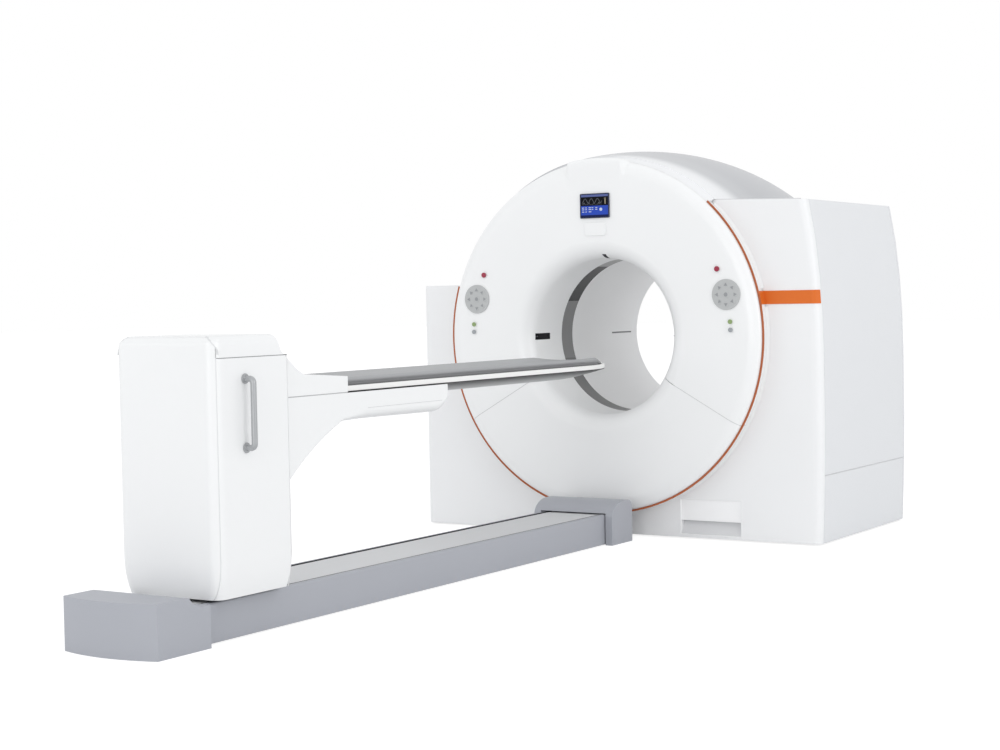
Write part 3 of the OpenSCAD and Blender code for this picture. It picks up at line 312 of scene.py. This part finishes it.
# ---------------------------------------------------------------- tunnel
# The tunnel's liner is a pale tube behind a dark see-through band, where
# the rays leave. The slots in the liner let the laser lines out.
liner_finish = paint("liner_finish", (0.91, 0.91, 0.91), 0.42, 0.01, 300, 0.02)
wear(nodes["bore_liner"], liner_finish)
# The band's tone steps darker and lighter with height: painted reflections on its window.
band_tone_and_painted_reflections = paint("band_tone_and_painted_reflections", (0.75, 0.75, 0.75), 0.36, 0.02, 500, 0.02, along=(
    (0, 0, 1), 0.6, 1.4, [(0.0, (0.22, 0.22, 0.22, 1)), (0.35, (0.31, 0.31, 0.31, 1)),
        (0.72, (0.038, 0.038, 0.038, 1)), (0.94, (0.48, 0.48, 0.48, 1))], "CONSTANT"), shine=0.25)
wear(nodes["scan_window"], band_tone_and_painted_reflections)
smoked = paint("smoked_window", (0.010, 0.010, 0.012), 0.45, 0.02, 200, 0.0, shine=0.06)
wear(nodes["laser_windows"], smoked)

# Three small flat lenses of the positioning lasers sit on each window, in
# a row away from the tunnel's axis.
lens_r, lens_flatness, lens_shares = 0.0036, 0.25, (0.22, 0.45, 0.68)
panes = bmesh.new()
panes.from_mesh(nodes["laser_windows"].data)
bmesh.ops.remove_doubles(panes, verts=panes.verts, dist=2e-5)
pane_tree = BVHTree.FromBMesh(panes)
left_over = dict.fromkeys(panes.verts)
lenses = bmesh.new()
while left_over:
    first = next(iter(left_over))
    del left_over[first]
    pane = [first]
    for vert in pane:
        for edge in vert.link_edges:
            other = edge.other_vert(vert)
            if other in left_over:
                del left_over[other]
                pane.append(other)
    outward = [Vector((v.co.x, 0, v.co.z - axis_z)) for v in pane]
    way = sum(outward, Vector()).normalized()
    reach = [point.dot(way) for point in outward]
    for share in lens_shares:
        out = min(reach) + share * (max(reach) - min(reach))
        hit = pane_tree.ray_cast(way * out + Vector((0, -0.3, axis_z)), Vector((0, 1, 0)))[0]
        if hit:
            bmesh.ops.create_uvsphere(lenses, u_segments=16, v_segments=8, radius=lens_r,
                matrix=Matrix.Translation(hit) @ Matrix.Diagonal((1, lens_flatness, 1, 1)))
panes.free()
placed(lenses, "laser_lenses", "gantry", "window_dark",
    paint("laser_lens", (0.16, 0.16, 0.175), 0.4, 0.02, 300, 0.0, shine=0.2))

# A dark lens strip lies in each of the liner's two slots.
strip_x, strip_y, strip_size = 0.3915, 0.8735, (0.0018, 0.220, 0.0074)
strips = bmesh.new()
for side in (-1, 1):
    bmesh.ops.create_cube(strips, size=1.0,
        matrix=Matrix.Translation((side * strip_x, strip_y, axis_z))
        @ Matrix.Diagonal((*strip_size, 1)))
placed(strips, "slot_strips", "gantry", "window_dark",
    paint("strip_dark", (0.16, 0.16, 0.165), 0.3, 0.02, 300, 0.0))

# ---------------------------------------------------------- accent trim
# The orange trim is one moulding: a thin ring round the cover's rim, and a
# bar along the right cabinet that wraps its corner. The ring is painted
# darker and browner than the bar: painted shade of its joint.
accent = paint("accent_orange", (0.72, 0.16, 0.022), 0.45, 0.02, 300, 0.02, shine=0.25, along=(
    (0, 1, 0), -0.070, -0.054, [(0.0, (0.60, 0.76, 2.2, 1)), (0.51, (1, 1, 1, 1))], "CONSTANT"))
softened("accent_trim", 0.001, "gantry", "trim_orange", accent)

# -------------------------------------------------------------- cabinets
# Painted sheet panels on both sides of the ring, hung on the base frame:
# two front panels that wrap round their corners, side and rear panels.
front_paint = paint("front_paint", (0.86, 0.865, 0.87), 0.42, 0.006, 500, 0.02, coat=0.1)
side_paint = paint("side_paint", (0.76, 0.77, 0.785), 0.45, 0.006, 500, 0.02, coat=0.1)
softened("front_panel_right", 0.003, "gantry", "panel_white", front_paint)
softened("front_panel_left", 0.003, "gantry", "panel_white", front_paint)
softened("side_panels", 0.003, "gantry", "side_grey", side_paint)
softened("rear_panels", 0.003, "gantry", "side_grey", side_paint)
# The vent's face is painted whiter than the panels round it: painted light that offsets the shade in
# its recess.
vent_white_and_painted_light = paint("vent_white", (0.94, 0.942, 0.945), 0.42, 0.006, 500, 0.02)
softened("foot_vent", 0.001, "gantry", "panel_white", vent_white_and_painted_light)


def slab(form, x, y, z, turn=None):
    """Adds a box between two places on each axis, turned about its middle."""
    middle = Vector(((x[0] + x[1]) / 2, (y[0] + y[1]) / 2, (z[0] + z[1]) / 2))
    size = Matrix.Diagonal((x[1] - x[0], y[1] - y[0], z[1] - z[0], 1))
    bmesh.ops.create_cube(form, size=1.0,
        matrix=Matrix.Translation(middle) @ (turn or Matrix.Identity(4)) @ size)


# The low tray behind the right panel's opening has a sloping floor, painted
# grey as the recess's shade.
vent_x, vent_z = (0.394, 0.724), (0.022, 0.198)
block_x, block_z = (0.4095, 0.7085), (0.0920, 0.1855)
slope_half, slope_lean = 0.0385, math.radians(60.2)
vent_slope = bmesh.new()
slab(vent_slope, (vent_x[0] + 0.0045, vent_x[1] - 0.0045), (-slope_half, slope_half),
    (-0.0006, 0.0006),
    Matrix.Translation((0, 0.0225, 0.0600)) @ Matrix.Rotation(slope_lean, 4, "X"))
placed(vent_slope, "vent_slope", "gantry", "side_grey",
    paint("vent_grey", (0.70, 0.705, 0.715), 0.5, 0.01, 500, 0.04))

# Moulded cheeks close the tray round the block, flush with its face, with the
# same painted light as the block.
vent_cheeks = bmesh.new()
cheek_y, cheek_top = (0.0058, 0.0300), vent_z[1] - 0.0035
for x, z in (((vent_x[0] + 0.0035, block_x[0] + 0.001), (block_z[0], cheek_top)),
        ((block_x[1] - 0.001, vent_x[1] - 0.0035), (block_z[0], cheek_top)),
        ((block_x[0] + 0.001, block_x[1] - 0.001), (block_z[1], cheek_top))):
    slab(vent_cheeks, x, cheek_y, z)
placed(vent_cheeks, "vent_cheeks", "gantry", "panel_white", vent_white_and_painted_light)

# A thin flat rim frames the opening and covers its joint with the tray.
vent_rim = bmesh.new()
rim_x, rim_z = (vent_x[0] - 0.003, vent_x[1] + 0.003), (vent_z[0] - 0.004, vent_z[1] + 0.004)
hole_x, hole_z = (vent_x[0] + 0.002, vent_x[1] - 0.002), (vent_z[0] + 0.0015, vent_z[1] - 0.0015)
for x, z in ((rim_x, (hole_z[1], rim_z[1])), (rim_x, (rim_z[0], hole_z[0])),
        ((rim_x[0], hole_x[0]), hole_z), ((hole_x[1], rim_x[1]), hole_z)):
    slab(vent_rim, x, (-0.0012, 0.0006), z)
placed(vent_rim, "vent_rim", "gantry", "panel_white", front_paint)

# A pale rubber seal lies a little way down in the joint across the right
# side, and in the one between the right panel's top and the hood.
seal_pale = paint("seal_pale", (0.66, 0.665, 0.67), 0.7, 0.01, 500, 0.05)
side_joint = ((1.1345, 1.1378), (0.046, 1.099), (0.3302, 0.3328))
top_joint_x, top_joint_z, top_rise, top_end = (0.56, 1.05), 1.640, 0.036, 1.073
top_joint = ((0.0012, -0.0004), (0.0012, 0.0034), (0.004, 0.0034), (0.004, -0.0004))
seals = bmesh.new()
slab(seals, *side_joint)
lofted(seals, [[(x, y, top_joint_z + top_rise * (1 - x / top_end) + z) for y, z in top_joint]
    for x in top_joint_x])
placed(seals, "joint_seals", "gantry", "side_grey", seal_pale)

# ------------------------------------------------------------------ hood
# The hood is one barrel-shaped moulding over the ring, and the rear cover
# is the front one's plain counterpart.
# The hood runs from white at its front edge and right side to grey further back and left; the white
# front and right are painted light on its rounded shoulder.
hood_grey_and_painted_light = paint("hood_grey_and_painted_light", (0.86, 0.865, 0.875), 0.4, 0.01, 400, 0.02, coat=0.15, along=(
    (-0.25, 1, 0), -0.10, 0.25, [(0.0, (1, 1, 1, 1)), (0.10, (0.98, 0.98, 0.98, 1)),
        (0.46, (0.62, 0.625, 0.635, 1)), (1.0, (0.56, 0.565, 0.58, 1))], "EASE"))
softened("top_hood", 0.008, "gantry", "hood_grey", hood_grey_and_painted_light, steps=4)


def swung(form, section, start, end, steps):
    """Spins a section round the tunnel's axis, from one angle in degrees to another."""
    turn, centre = math.radians(start), Vector((0, 0, axis_z))
    face = form.faces.new([form.verts.new((r * math.cos(turn), y, axis_z + r * math.sin(turn)))
        for r, y in section])
    bmesh.ops.spin(form, geom=[face, *face.edges, *face.verts], cent=centre, axis=(0, -1, 0),
        angle=math.radians(end - start), steps=steps)
    bmesh.ops.recalc_face_normals(form, faces=form.faces)


# A moulded lip leads from the front cover's rim up to the hood's edge, and
# shares the hood's colour with its painted light.
lip_section = ((0.8752, -0.0600), (0.8766, -0.0520), (0.8795, -0.0420), (0.8838, -0.0310),
    (0.8888, -0.0200), (0.8935, -0.0110), (0.8966, -0.0050), (0.8966, -0.0020),
    (0.8790, -0.0085), (0.8752, -0.0085))
hood_lip = bmesh.new()
swung(hood_lip, lip_section, 47.5, 161.6, 114)
placed(hood_lip, "hood_lip", "gantry", "hood_grey", hood_grey_and_painted_light)

# A white gasket fills the corner between the front cover's rim and the
# cabinets' fronts, except where the orange bar crosses it.
gasket_section = ((0.8753, -0.012), (0.8775, -0.0062), (0.8815, -0.0022), (0.8875, -0.0006),
    (0.8753, -0.0006))
gasket = bmesh.new()
for start, end in ((162.3, 368.9), (374.7, 406.4)):
    swung(gasket, gasket_section, start, end, int(end - start))
placed(gasket, "rim_gasket", "gantry", "panel_white",
    paint("gasket_white", (0.88, 0.885, 0.885), 0.6, 0.006, 400, 0.02))
softened("rear_cover", 0.002, "gantry", "cover_white", cover_lacquer)
softened("rear_mouth", 0.0015, "gantry", "cover_white", cover_lacquer)

# --------------------------------------------------------------- display
# A flat display in a thin dark frame, let into the front cover below the
# crown. Its picture is plain: a title bar, two traces, and rows of marks.
bezel_finish = paint("bezel_black", (0.03, 0.036, 0.075), 0.35, 0.02, 300, 0.0, shine=0.2)
softened("display_bezel", 0.001, "gantry", "glass_dark", bezel_finish)
screen_x, screen_z = 0.0765, (1.5935, 1.7045)
screen_y = -0.1070
mark_y, trace_x = (screen_y - 0.0009, screen_y - 0.0004), (-0.070, 0.042)
bands = (("title", 0.90, 1.0, (0.105, 0.135, 0.33)), ("traces", 0.50, 0.90, (0.001, 0.0015, 0.004)),
    ("rows", 0.09, 0.50, (0.030, 0.075, 0.46)), ("foot", 0.0, 0.09, (0.008, 0.014, 0.075)))


def screen_level(share):
    """Height of a share of the screen above its lower edge."""
    return screen_z[0] + share * (screen_z[1] - screen_z[0])


for name, low, high, colour in bands:
    band = bmesh.new()
    slab(band, (-screen_x, screen_x), (mark_y[1], screen_y), (screen_level(low), screen_level(high)))
    placed(band, "screen_" + name, "gantry", "screen",
        paint("screen_" + name + "_tone", colour, 0.3, 0.01, 300, 0.0, shine=0.1))
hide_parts("display_screen")


def trace(form, z, height, thick, shape):
    """Adds a thin line across the screen that follows a shape from 0 to 1."""
    line = [(x, z + height * shape(u)) for x, u in zip(spread(*trace_x, 60), spread(0, 1, 60))]
    for (xa, za), (xb, zb) in zip(line, line[1:]):
        low, high = min(za, zb) - thick, max(za, zb) + thick
        slab(form, (xa, xb), mark_y, (low, high))


traces = bmesh.new()
trace(traces, screen_level(0.62), 0.022, 0.0007, lambda u: abs(math.sin(3.2 * math.pi * u)) ** 1.5)
trace(traces, screen_level(0.56), 0.010, 0.0005, lambda u: math.exp(-60 * ((4 * u) % 1 - 0.4) ** 2))
placed(traces, "screen_lines", "gantry", "screen", paint("screen_line_tone", (0.11, 0.12, 0.14), 0.2))
gauge = bmesh.new()
for gauge_x, low, high in (((0.058, 0.063), 0.56, 0.80), ((0.055, 0.066), 0.81, 0.83)):
    slab(gauge, gauge_x, mark_y, (screen_level(low), screen_level(high)))
placed(gauge, "screen_gauge", "gantry", "screen", paint("screen_gauge_tone", (0.36, 0.32, 0.23), 0.2))


def disc(form, place, r, depth, sides=24):
    """Adds a flat disc, or a prism of a few sides, that faces the front."""
    bmesh.ops.create_cone(form, cap_ends=True, segments=sides, radius1=r, radius2=r, depth=depth,
        matrix=place @ Matrix.Rotation(math.pi / 2, 4, "X"))


# Rows of short marks, the last one with three, beside a round dial
mark_x, mark_step, mark_h = -0.071, 0.019, 0.0035
mark_widths = (0.013, 0.009, 0.015, 0.007, 0.011)
dial_x, dial_r, dial_depth = 0.036, 0.008, 0.0005
marks = bmesh.new()
for share, count in ((0.40, 5), (0.32, 5), (0.22, 3)):
    foot = screen_level(share)
    for i, wide in enumerate(mark_widths[:count]):
        left = mark_x + mark_step * i
        slab(marks, (left, left + wide), mark_y, (foot, foot + mark_h))
disc(marks, Matrix.Translation((dial_x, mark_y[0] + dial_depth / 2, screen_level(0.33))),
    dial_r, dial_depth)
placed(marks, "screen_marks", "gantry", "screen", paint("screen_mark_tone", (0.55, 0.62, 0.75), 0.2))

# -------------------------------------------------------------- controls
# A status lens under the display, a round membrane keypad on each side
# with a symbol on every key, and three push buttons beside each keypad.
softened("status_lens", 0.0045, "gantry", "lens", cover_lacquer, steps=5)
key_finish = paint("key_grey", (0.49, 0.50, 0.50), 0.5, 0.02, 700, 0.05)
softened("keypads", 0.0008, "gantry", "key_grey", key_finish)
key_x, key_y, key_z = 0.707, -0.1078, 1.197
arrows, arrow_r, arrow_depth, arrows_r = 8, 0.0105, 0.0006, 0.047
symbols = bmesh.new()
for side in (-1, 1):
    centre = Matrix.Translation((side * key_x, key_y, key_z))
    for i in range(arrows):
        turn = Matrix.Rotation(2 * math.pi * i / arrows, 4, "Y")
        disc(symbols, centre @ turn @ Matrix.Translation((0, 0, arrows_r)), arrow_r, arrow_depth, 3)
    for dot_r, dot_depth in ((0.004, 0.00096), (0.010, 0.0006)):
        disc(symbols, centre, dot_r, dot_depth)
placed(symbols, "key_symbols", "gantry", "key_grey",
    paint("symbol_grey", (0.30, 0.31, 0.32), 0.5, 0.02, 700, 0.02))
for kind, colour in (("stop", (0.33, 0.022, 0.055)), ("start", (0.26, 0.36, 0.15)),
        ("move", (0.34, 0.36, 0.38))):
    button_finish = paint(kind + "_button_finish", colour, 0.3, 0.02, 300, 0.02)
    for side in ("right", "left"):
        wear(nodes[f"{kind}_button_{side}"], button_finish)

# ------------------------------------------------------------ table base
# A bolted steel channel under moulded grey covers, with a cover band that
# runs between two slots, and a cap at each end.
base_finish = paint("base_grey", (0.415, 0.427, 0.465), 0.5, 0.015, 600, 0.08)
softened("base_side_covers", 0.0015, "gantry", "base_grey", base_finish)
softened("base_caps", 0.006, "gantry", "base_grey", base_finish, steps=3)


def slab_pair(form, x, y, z):
    """Adds the same box on the left and on the right."""
    for side in (-1, 1):
        slab(form, sorted(side * edge for edge in x), y, z)


# A black rubber edging trims the covers' edges along the band's two slots.
edging_x, edging_z = (0.1512, 0.1540), (0.1425, 0.1485)
cover_ends = [v.co.y for v in nodes["base_side_covers"].data.vertices]
edging = bmesh.new()
slab_pair(edging, edging_x, (min(cover_ends), max(cover_ends)), edging_z)
placed(edging, "slot_edging", "gantry", "drive_rubber",
    paint("edging_black", (0.05, 0.05, 0.055), 0.6, 0.02, 400, 0.05, shine=0.3))
belt_finish = paint("belt_grey", (0.67, 0.675, 0.685), 0.5, 0.01, 600, 0.05)
wear(nodes["cover_belt"], belt_finish)

# -------------------------------------------------------------- pedestal
# Five lacquered covers are clipped round the lift column: an end cover, a
# top cap and three panels. A metal handle is screwed on at each side.
ped_x, ped_front, ped_end, ped_top = 0.236, -2.832, -3.247, 1.087
corner_r, edge_r, top_r = 0.045, 0.014, 0.036
tuck, tuck_top, tuck_h = 0.016, 0.285, 0.127
softened("pedestal_end_cover", 0.0015, "carriage", "cover_white", cover_lacquer)
softened("pedestal_top_cap", 0.0015, "carriage", "cover_white", cover_lacquer)
softened("pedestal_panels", 0.0015, "carriage", "cover_white", cover_lacquer)
handle_finish = paint("handle_grey", (0.42, 0.43, 0.44), 0.32, 0.01, 500, 0.03, metal=0.5)
softened("handles", 0.002, "carriage", "handle_grey", handle_finish)


def ped_inset(z):
    """How far the pedestal's outline draws in at a height."""
    if z < tuck_top:
        return tuck * ((tuck_top - z) / tuck_h) ** 2
    rise = z - ped_top + top_r
    return top_r - math.sqrt(max(0, top_r ** 2 - rise * rise)) if rise > 0 else 0


def ped_plan(depth):
    """The pedestal's outline, sunk by a depth."""
    x, turn = ped_x - depth, spread(0, math.pi / 2, 6)
    r, e = corner_r - depth, edge_r - depth
    front, end = ped_front - depth - e, ped_end + depth + r
    plan = [(x - e + e * math.cos(a), front + e * math.sin(a)) for a in turn]
    plan += [(e - x - e * math.sin(a), front + e * math.cos(a)) for a in turn]
    plan += [(r - x - r * math.cos(a), end - r * math.sin(a)) for a in turn]
    return plan + [(x - r + r * math.sin(a), end - r * math.cos(a)) for a in turn]


# Seals lie just under the surface in the covers' joints: a grey one under
# the top cap, and pale ones round the end cover and beside the front panel.
sunk, deep = 0.0012, 0.0035
cap_joint, end_joint = (1.0065, 1.0104), (-3.2285, -3.2245)
cap_seal = bmesh.new()
loop = [[(xo, yo, cap_joint[0]), (xo, yo, cap_joint[1]), (xi, yi, cap_joint[1]), (xi, yi, cap_joint[0])]
    for (xo, yo), (xi, yi) in zip(ped_plan(sunk), ped_plan(deep))]
lofted(cap_seal, loop, ends=False)
placed(cap_seal, "cap_seal", "carriage", "key_grey", paint("cap_seal_grey", (0.30, 0.305, 0.31), 0.7))
corner_x, corner_y = ped_x - corner_r, ped_end + corner_r
tuck_heights = (0.158, 0.180, 0.205, 0.235, tuck_top)
front_joint = ((0.2345, -2.8465), (0.2342, -2.8425), (0.232, -2.8425), (0.232, -2.8465))
arch_x, arch_z, arch_r, arch_depth = 0.159, 1.010, (0.0765, 0.0805), 0.003
end_seals = bmesh.new()
for side in (-1, 1):
    # Up the corner, between the end cover and the side panel
    rings = []
    for z in tuck_heights + (1.0105,):
        s = ped_inset(z)
        outer = [(corner_x - s + math.sqrt(max(0.0, (corner_r - d) ** 2 - (corner_y + s - y) ** 2)), y)
            for d, y in ((sunk, end_joint[0]), (sunk, end_joint[1]), (deep, end_joint[1]),
            (deep, end_joint[0]))]
        rings.append([(side * x, y, z) for x, y in outer])
    lofted(end_seals, rings)

    # Up the edge of the front panel
    lofted(end_seals, [[(side * (x - ped_inset(z)), y, z) for x, y in front_joint]
        for z in tuck_heights + (cap_joint[0],)])

    # Round the end cover's upper corner
    rings = []
    for a in spread(math.radians(8), math.radians(72), 24):
        ring = []
        for r, inward in ((arch_r[0], 0), (arch_r[1], 0), (arch_r[1], arch_depth),
                (arch_r[0], arch_depth)):
            x, z = arch_x + r * math.cos(a), arch_z + r * math.sin(a)
            s = ped_inset(z)
            over = max(0.0, x - corner_x + s)
            y = corner_y + s - math.sqrt(max(0.0, (corner_r - sunk) ** 2 - over * over))
            ring.append((side * x, min(y, end_joint[1]) + inward, z))
        rings.append(ring)
    lofted(end_seals, rings)
slab(end_seals, (-0.187, 0.187), end_joint, (1.0795, 1.0820))
placed(end_seals, "end_seals", "carriage", "cover_white",
    paint("end_seal_pale", (0.74, 0.745, 0.75), 0.7, 0.01, 500, 0.05))

# ------------------------------------------------------------------- arm
# Two lacquered covers enclose the cantilevered steel arm and are clipped to
# it. The head cover beside the pedestal holds the pallet's end as well.
softened("arm_cover", 0.0015, "lift", "cover_white", cover_lacquer)
softened("arm_head_cover", 0.002, "lift", "cover_white", cover_lacquer)

# A seal lies in the joint between them, and a thin grey strip along the beam's
# lower edge is painted shade where its side turns under.
arm_seal = bmesh.new()
slab_pair(arm_seal, (0.2115, 0.2148), (-2.827, -2.452), (0.8478, 0.8512))
placed(arm_seal, "arm_seal", "lift", "key_grey", paint("arm_seal_grey", (0.45, 0.455, 0.46), 0.7))
edge_shade = bmesh.new()
slab_pair(edge_shade, (0.2158, 0.2163), (-2.324, -1.806), (0.7822, 0.7838))
placed(edge_shade, "edge_shade_line", "lift", "cover_white", paint("edge_shade_grey", (0.58, 0.585, 0.59), 0.5))

# ---------------------------------------------------------------- pallet
# A long trough of carbon fibre laminate with a rounded nose: a grey belly,
# and a thick pale edge band round it, above a thin groove painted near black
# as painted shade.
pallet_w, pallet_z, band_h = 0.208, 0.874, 0.023
tip_y, nose_l, belly_h = -0.180, 0.400, 0.046
pallet_back, nose_back = -2.716, tip_y - nose_l
rim_t, band_r = 0.011, 0.0045
low_z = pallet_z - band_h


def half_width(y):
    """Half width of the pallet at a distance along it."""
    along = (y - nose_back) / nose_l
    return pallet_w if along < 0 else pallet_w * math.sqrt(max(0.0, 1 - along * along))


def belly_at(y):
    """Depth of the belly below its edges, which lessens towards the nose."""
    return belly_h * min(1, max(0.55, (-y - 0.05) / 0.5))


# The plan of the rim, from the near end round the nose and back
straight = spread(pallet_back, nose_back, 12)
nose_turn = [math.radians(a) for a in spread(90, -90, 48)]


def rim_plan(inset):
    """The rim's outline drawn in by an inset."""
    right = [(pallet_w - inset, y) for y in straight]
    tip = [((pallet_w - inset) * math.sin(a), nose_back + (nose_l - inset) * math.cos(a))
        for a in nose_turn[1:-1]]
    left = [(inset - pallet_w, y) for y in reversed(straight)]
    return right + tip + left


def swept(form, profile):
    """Adds a band that follows the rim; its profile is inset and height."""
    plans = [rim_plan(inset) for inset, _ in profile]
    lofted(form, [[(plan[k][0], plan[k][1], z) for plan, (_, z) in zip(plans, profile)]
        for k in range(len(plans[0]))])


edge_band = bmesh.new()
swept(edge_band, [(0.0035, low_z + 0.002), (0.0010, low_z + 0.003), (0.0, low_z + 0.0055)]
    + [(band_r * (1 - math.cos(a)), pallet_z - band_r * (1 - math.sin(a)))
        for a in spread(0, math.pi / 2, 5)]
    + [(rim_t - 0.002, pallet_z), (rim_t, pallet_z - 0.002), (rim_t, low_z + 0.002)])
placed(edge_band, "pallet_edge_band", "lift", "pallet_grey",
    paint("band_white", (0.89, 0.885, 0.87), 0.32, 0.01, 400, 0.02, coat=0.3))

# The groove is painted near black: painted shade under the band.
groove_in, groove_z = 0.004, (low_z - 0.002, low_z + 0.0022)
groove = bmesh.new()
swept(groove, [(groove_in, groove_z[0]), (groove_in, groove_z[1]), (rim_t, groove_z[1]),
    (rim_t, groove_z[0])])
placed(groove, "pallet_groove", "lift", "pallet_grey",
    paint("groove_painted_shade", (0.035, 0.036, 0.038), 0.5, 0.02, 400, 0.03))

# The belly's outer skin, closed by the trough's floor above it. The nose
# beyond the trough's end is solid.
trough_end, trough_floor, nose_top = tip_y - 0.115, low_z + 0.010, pallet_z - 0.003
shell = bmesh.new()
shell_y = spread(pallet_back, -0.90, 6) + [tip_y - s for s in (
    0.60, 0.50, 0.40, 0.34, 0.28, 0.23, 0.19, 0.15, 0.115, 0.085, 0.06, 0.04, 0.024, 0.012, 0.004)]
rings = []
for y in shell_y:
    w = half_width(y) - 0.0005
    inner = max(0.003, w - rim_t)
    solid = y > trough_end - 0.001
    floor_z, sag = (nose_top, 0) if solid else (trough_floor, belly_at(y))
    under = [(u * w, low_z - 0.0005 - belly_at(y) * (1 - u * u)) for u in spread(-1, 1, 24)]
    over = [(u * inner, floor_z - sag * (1 - u * u)) for u in spread(1, -1, 24)]
    rings.append([(x, y, z) for x, z in under + over])
lofted(shell, rings)
# The belly's grey is painted darker just under the band, as painted shade, and lighter towards its
# bottom, as a painted reflection of the floor.
pallet_painted_shade_and_reflection = paint("pallet_grey", (0.60, 0.605, 0.61), 0.42, 0.02, 300, 0.03, shine=0.25, along=(
    (0, 0, 1), 0.804, 0.872, [(0.0, (0.95, 0.95, 0.95, 1)), (0.32, (0.52, 0.52, 0.52, 1)),
        (0.58, (0.10, 0.10, 0.10, 1)), (0.70, (0.05, 0.05, 0.05, 1)),
        (0.76, (0.36, 0.36, 0.36, 1))], "LINEAR"))
placed(shell, "pallet_shell", "lift", "pallet_grey", pallet_painted_shade_and_reflection, "pallet")

# -------------------------------------------------------------- mattress
# A foam pad with a coated cover lies in the trough. It is slightly hollow
# on top, has rounded sides, and thins out towards the pallet's nose.
pad_tip, pad_back = tip_y - 0.131, pallet_back + 0.017
pad_rise, pad_base, pad_hollow = 0.033, low_z + 0.0125, 0.010
side_r, side_gap = 0.013, 0.0012


def pad_ring(y, rise, w):
    """The pad's section: its floor, a rounded side, its top, the other side."""
    top = pallet_z + rise
    r = min(side_r, max(0.002, (top - pad_base) * 0.45))
    lower = [(u * (w - 0.004), pad_base - belly_at(y) * (1 - u * u)) for u in spread(-1, 1, 16)]
    right = [(w - r + r * math.cos(a), top - r + r * math.sin(a))
        for a in spread(math.radians(-50), math.radians(80), 8)]
    upper = [(u * (w - r), top - pad_hollow * (1 - u * u)) for u in spread(0.97, -0.97, 20)]
    left = [(-x, z) for x, z in reversed(right)]
    return [(x, y, z) for x, z in lower + right + upper + left]


pad = bmesh.new()
pad_places = [(pad_tip - s, rise) for s, rise in (
    (0, 0.004), (0.004, 0.007), (0.030, 0.0135), (0.060, 0.0205), (0.090, 0.0275), (0.112, 0.0322))]
pad_places += [(y, pad_rise) for y in spread(pad_tip - 0.125, pad_back + 0.03, 30)]
pad_places += [(pad_back + 0.012, 0.0325), (pad_back + 0.004, 0.0290), (pad_back, 0.022)]
lofted(pad, [pad_ring(y, rise, half_width(y) - rim_t - side_gap - (0.003 if rise < 0.022 else 0))
    for y, rise in pad_places])
bmesh.ops.triangulate(pad, faces=[f for f in pad.faces if len(f.verts) > 4])
# The pad's grey is painted darker down its sides towards the band: painted shade.
pad_grey_and_painted_shade = paint("pad_grey", (0.375, 0.38, 0.388), 0.5, 0.015, 420, 0.12, shine=0.35, along=(
    (0, 0, 1), 0.872, 0.908, [(0.0, (0.38, 0.38, 0.38, 1)), (0.30, (0.64, 0.64, 0.64, 1)),
        (0.62, (0.85, 0.85, 0.85, 1)), (0.74, (1, 1, 1, 1))], "LINEAR"))
mattress = placed(pad, "mattress_pad", "lift", "pad_grey", pad_grey_and_painted_shade)
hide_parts("mattress")

# A welt runs along both sides of the pad where its cover is sewn.
welt_r, welt_x, welt_z = 0.0016, pallet_w - rim_t - 0.0015, pallet_z + 0.0165
welt_turn = [2 * math.pi * i / 8 for i in range(8)]
welt = bmesh.new()
for side in (-1, 1):
    lofted(welt, [[(side * welt_x + welt_r * math.cos(a), y, welt_z + welt_r * math.sin(a))
        for a in welt_turn] for y in spread(nose_back, pad_back + 0.03, 20)])
placed(welt, "mattress_welt", "lift", "pad_grey",
    paint("welt_grey", (0.24, 0.243, 0.25), 0.55, 0.02, 600, 0.1))

# --------------------------------------------------- what is out of sight
# Welded frames, the bearing and its rotor, the detectors, the rack and the
# drives are bolted together under the covers. They keep their CAD shapes.
steel_paint = paint("steel_paint", (0.10, 0.105, 0.115), 0.5, 0.03, 250, 0.06)
for node in ("gantry_base_frame", "base_channel", "carriage_frame", "pedestal_frame", "arm_frame"):
    wear(nodes[node], steel_paint)
ground_steel = paint("ground_steel", (0.5, 0.51, 0.52), 0.28, 0.02, 900, 0.03, metal=1.0)
for node in ("bearing_outer_race", "bearing_inner_race", "guide_rails", "runner_blocks"):
    wear(nodes[node], ground_steel)
milled = paint("milled_aluminium", (0.55, 0.56, 0.57), 0.36, 0.02, 700, 0.04, metal=1.0)
for node in ("ct_stator_frame", "pet_frame", "rotor_drum", "xray_tube"):
    wear(nodes[node], milled)
unit_black = paint("unit_black", (0.03, 0.032, 0.036), 0.5, 0.04, 300, 0.05)
for node in ("electronics_rack", "cooling_unit", "ct_detector", "rotor_power_units", "drive_motor"):
    wear(nodes[node], unit_black)
lead = paint("lead_grey", (0.12, 0.125, 0.135), 0.55, 0.05, 120, 0.15, metal=0.5)
for node in ("pet_shields", "collimator"):
    wear(nodes[node], lead)
wear(nodes["pet_detectors"], paint("crystal_blocks", (0.55, 0.5, 0.36), 0.25, 0.03, 400, 0.02))
wear(nodes["slip_ring"], paint("copper_tracks", (0.6, 0.32, 0.15), 0.3, 0.03, 500, 0.03, metal=1.0))
wear(nodes["drive_roller"], paint("roller_rubber", (0.02, 0.02, 0.02), 0.7, 0.05, 500, 0.1))
